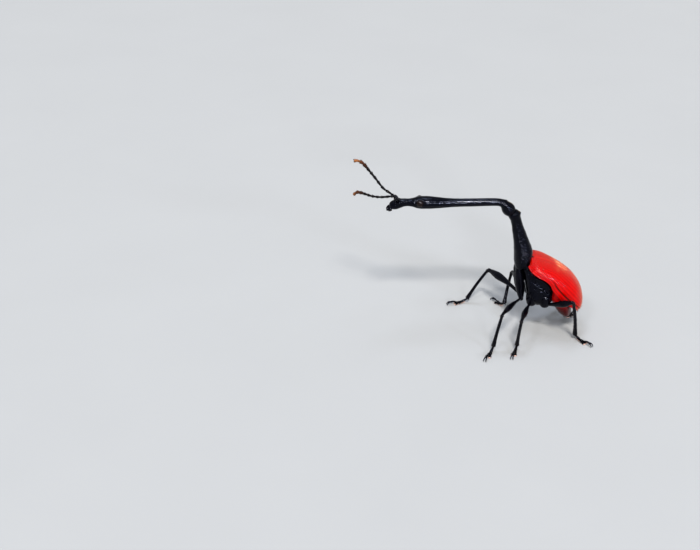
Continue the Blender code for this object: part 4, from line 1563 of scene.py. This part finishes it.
# %% Bristle maker
def bristle_points(roots, direction, leans, lengths, thickness):
    """Nine points for each bristle: four at its foot, four at its middle and its tip."""
    first = np.cross(direction, (0.31, 0.87, 0.38))
    first /= np.linalg.norm(first, axis=1)[:, None]
    second = np.cross(direction, first)
    foot = roots - direction * 0.012
    middle = roots + direction * lengths[:, None] * 0.55
    spots = [foot + thickness * (first * a + second * b) for a, b in CORNERS]
    spots += [middle + 0.6 * thickness * (first * a + second * b) for a, b in CORNERS]
    spots.append(roots + direction * lengths[:, None] + leans * (lengths * 0.12)[:, None])
    return np.stack(spots, 1).reshape(-1, 3)


def give_uv(piece, places):
    """A small patch of the UV map for each bristle, at its place from 0 to 1 in u and v."""
    layer = piece.data.uv_layers.new(name="OFBake")
    corners = np.empty(len(piece.data.loops), np.int32)
    piece.data.loops.foreach_get("vertex_index", corners)
    patch = places[corners // BRISTLE_POINTS] * 0.99 + UV_SPREAD[corners % BRISTLE_POINTS]
    layer.data.foreach_set("uv", patch.astype(np.float32).ravel())


def bristles(name, roots, normals, leans, lengths, places, thickness=0.008):
    """One mesh of thin cones. leans is the direction each cone bends to, places its u and v."""
    direction = normals * 0.75 + leans
    direction /= np.linalg.norm(direction, axis=1)[:, None]
    tips = roots + direction * lengths[:, None]
    free = (tips[:, 2] > LOWEST_TIP) & (roots[:, 2] > LOWEST_ROOT) & (tips[:, 0] > FARTHEST_TIP)
    kept = [part[free] for part in (roots, direction, leans, lengths, places)]
    points = bristle_points(*kept[:4], thickness)
    faces = [
        tuple(v + BRISTLE_POINTS * n for v in face) for n in range(len(kept[0])) for face in BRISTLE_FACES
    ]
    piece = new_piece(name, points, faces)
    give_uv(piece, kept[4])
    return dress(piece, bristle_finish, "black_shell")


print("No root lies lower than", LOWEST_ROOT, "mm")

# %% [markdown]
# ## Roots of bristles
#
# Bristles grow scattered over a limb and lean towards its tip. The rings of a limb already say where
# its surface is, which way is outwards and which way is forwards, so we draw random rings and random
# places on them. A generator with a fixed seed gives the same roots each time.


# %% Roots on rings
def on_rings(rings, count, seed, low=0.05, high=0.95):
    """Roots scattered over swept rings, with outward normals, forward directions and u, v places."""
    chance = np.random.default_rng(seed)
    rings = np.asarray(rings)
    rows, sides, _ = rings.shape
    u, v = chance.uniform(low, high, count), chance.uniform(0, 1, count)
    i = (u * (rows - 1)).astype(int)
    j = (v * sides).astype(int) % sides
    roots = rings[i, j]
    centres = rings.mean(1)
    normals = roots - centres[i]
    normals /= np.linalg.norm(normals, axis=1)[:, None]
    ahead = centres[np.minimum(i + 2, rows - 1)] - centres[np.maximum(i - 2, 0)]
    ahead /= np.linalg.norm(ahead, axis=1)[:, None]
    return roots, normals, ahead, np.stack([u, v], -1), chance


def gather(parts):
    return [np.concatenate([part[k] for part in parts]) for k in range(5)]


print("Roots are drawn from a fixed seed")

# %% Bristles on the legs
THIGH_BRISTLES = 90, 0.07, 0.25
SHIN_BRISTLES = 220, 0.09, 0.05
FOOT_BRISTLES = 46, 0.08, 0.05
for number, (name, parts) in enumerate(leg_rings.items()):
    sets = []
    plan = [(parts["thigh"], *THIGH_BRISTLES), (parts["shin"], *SHIN_BRISTLES)]
    plan += [(joint, *FOOT_BRISTLES) for joint in parts["joints"][:4]]
    room = 1 / len(plan)
    for order, (rings, count, size, low) in enumerate(plan):
        roots, normals, ahead, places, chance = on_rings(rings, count, 1000 + 20 * number + order, low)
        lengths = size * chance.uniform(0.55, 1.15, count)
        places = places * (room, 1.0) + (order * room, 0.0)
        sets.append((roots, normals, ahead * 0.8, lengths, places))
    bristles("bristles_" + name, *gather(sets))

# %% Bristles on the feelers
FEELER_SEEDS = {"left": 2050, "right": 2000}
CLUB_STARTS = 8
for word, rings in feeler_rings.items():
    sets = []
    for order, joint in enumerate(rings):
        count = 60 if order < CLUB_STARTS else 150
        roots, normals, ahead, places, chance = on_rings(joint, count, FEELER_SEEDS[word] + order, 0.15)
        lengths = chance.uniform(0.05, 0.10, count)
        places = places * (1 / len(rings), 1.0) + (order / len(rings), 0.0)
        sets.append((roots, normals * 0.9, ahead * 0.9, lengths, places))
    bristles("bristles_feeler_" + word, *gather(sets), thickness=0.005)

# %% [markdown]
# ## Bristles at the tail
#
# At the tips of the wing cases and of the hind body stand a few black bristles that show against the
# light. We pick points of the finished skins that lie near the tail and let the bristles lean
# backwards and down.

# %% Tail bristles
TAIL_PLAN = [
    (wing_cases[0], 16, 2.5, 0.20),
    (wing_cases[1], 16, 2.5, 0.20),
    (hind_body_skin, 22, 2.0, 0.16),
]
chance = np.random.default_rng(77)
tail_sets = []
for piece, count, low_z, size in TAIL_PLAN:
    points, normals = read_points(piece)
    faces_back = normals @ np.array([0.8, 0, -0.3]) > 0.1
    near_tail = np.flatnonzero((points[:, 2] < low_z) & (points[:, 0] > 4.0) & faces_back)
    picked = chance.choice(near_tail, count, replace=False)
    leans = np.tile(unit([0.7, 0, -0.7]), (count, 1)) + chance.normal(0, 0.15, (count, 3))
    places = chance.uniform(0, 0.98, (count, 2))
    lengths = size * chance.uniform(0.5, 1.2, count)
    tail_sets.append((points[picked], normals[picked], leans, lengths, places))
bristles("bristles_tail", *gather(tail_sets), thickness=0.011)

# %% [markdown]
# ## Camera
#
# The portrait was taken from the animal's left, a little from above, with a long lens. A long lens
# keeps the near and far legs almost the same size. The camera below stands about thirteen
# centimetres away and looks down by 28 degrees, and its lens gives the same framing.

# %% Place the camera
LOOKING_DOWN = 28
HALF_VIEW = 13.0
SENSOR_WIDTH = 36.0
camera_data = bpy.data.cameras.new("portrait_camera")
camera_data.sensor_width = SENSOR_WIDTH
camera_data.lens = SENSOR_WIDTH / 2 / math.tan(math.radians(HALF_VIEW))
camera_data.clip_start = 0.005
camera_data.clip_end = 50.0
camera = bpy.data.objects.new("portrait_camera", camera_data)
bpy.context.scene.collection.objects.link(camera)
camera.location = Vector(in_scene(np.array([-14.2785, -111.288, 64.125])))
camera.rotation_euler = (math.radians(90 - LOOKING_DOWN), 0, 0)
bpy.context.scene.camera = camera
print("Focal length:", round(camera_data.lens, 1), "mm")

# %% [markdown]
# ## Floor
#
# A plain pale floor keeps attention on the animal and takes its soft shadow. One big square is
# enough. Its grey varies by less than one part in fifty, as paper does, and it is marked as part of
# the stage, so that it isn't taken for a piece of the animal.

# %% Build the floor
FLOOR_SIZE = 1.5
PAPER_GREYS = [(0.3, (0.313, 0.312, 0.306)), (0.7, (0.319, 0.318, 0.312))]


def paper():
    material, shader = new_material("pale_floor", 0.85, coat=0.0, coat_roughness=0.3)
    speck = texture(material, "ShaderNodeTexNoise", 12.0, Detail=4.0)
    colour_by(material, shader, speck.outputs["Fac"], PAPER_GREYS)
    return material


floor_mesh = bpy.data.meshes.new("floor")
floor_corners = [(x * FLOOR_SIZE, y * FLOOR_SIZE, 0) for x, y in ((-1, -1), (1, -1), (1, 1), (-1, 1))]
floor_mesh.from_pydata(floor_corners, [], [(0, 1, 2, 3)])
floor = bpy.data.objects.new("floor", floor_mesh)
bpy.context.scene.collection.objects.link(floor)
floor_mesh.materials.append(paper())
floor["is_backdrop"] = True
print("The floor is", 2 * FLOOR_SIZE, "m wide")

# %% [markdown]
# ## Lamps
#
# Black armour shows its shape by what it mirrors. A key light like a soft sun stands high in front
# and gives the short bright highlights. A bluish panel above puts a cool shine on every upper side,
# and three small panels, low in front, at the tail's side and at the snout's side, add their own
# glints. A warm spot low behind draws the golden edge on the back. All stand half a metre or more
# away, and point at the middle of the animal.


# %% A helper for lamps
HEART = (0.002, 0.0, 0.007)


def hang(name, kind, place, power, colour):
    """A lamp that shines from its place at the heart of the animal, and isn't seen itself."""
    data = bpy.data.lights.new(name, kind)
    data.energy = power
    data.color = colour
    lamp = bpy.data.objects.new(name, data)
    bpy.context.scene.collection.objects.link(lamp)
    lamp.visible_camera = False
    lamp.location = place
    lamp.rotation_mode = "QUATERNION"
    lamp.rotation_quaternion = (Vector(HEART) - Vector(place)).to_track_quat("-Z", "Y")
    return data


def soft_panel(name, place, width, power, colour):
    """A rectangular lamp, whose width and height give soft edges to the highlights."""
    data = hang(name, "AREA", place, power, colour)
    data.shape = "RECTANGLE"
    data.size, data.size_y = width


print("All lamps point at", HEART)

# %% Hang the lamps
key = hang("key_lamp", "SUN", (0.07, -0.62, 0.75), 3.2, (1.0, 0.98, 0.95))
key.angle = math.radians(9)
soft_panel("sky_panel", (-0.05, 0.06, 0.60), (0.30, 0.12), 1.4, (0.72, 0.82, 1.0))
rim = hang("rim_spot", "SPOT", (0.31, 0.56, 0.055), 0.9, (1.0, 0.70, 0.32))
rim.spot_size = math.radians(9)
rim.spot_blend = 0.6
rim.shadow_soft_size = 0.05
soft_panel("low_panel", (0.12, -0.75, 0.24), (0.10, 0.06), 2.4, (0.86, 0.90, 1.0))
soft_panel("side_panel", (0.42, -0.50, 0.24), (0.09, 0.05), 1.3, (0.74, 0.82, 1.0))
soft_panel("snout_panel", (-0.27, -0.53, 0.62), (0.14, 0.05), 1.5, (0.90, 0.92, 1.0))

# %% [markdown]
# ## Air and contrast
#
# A faint bluish light from everywhere stands for the room and keeps the shadows open. The view is
# set to a little more contrast than plain, as a camera gives it, so the armour looks truly black.

# %% Room light and contrast
world = bpy.data.worlds.new("studio")
bpy.context.scene.world = world
world.use_nodes = True
room_light = world.node_tree.nodes["Background"]
room_light.inputs["Color"].default_value = (0.93, 0.96, 1.0, 1.0)
room_light.inputs["Strength"].default_value = 0.50
bpy.context.scene.view_settings.view_transform = "Standard"
bpy.context.scene.view_settings.look = "Medium High Contrast"
print("Room light:", round(room_light.inputs["Strength"].default_value, 2))

# %% [markdown]
# ## Last look
#
# The dressed animal should be as big as its solids. We measure the box round the dressed pieces
# and print it.

# %% Measure the size and finish
low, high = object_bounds()
print("Dressed from", [round(v * 1000, 2) for v in low], "to", [round(v * 1000, 2) for v in high])
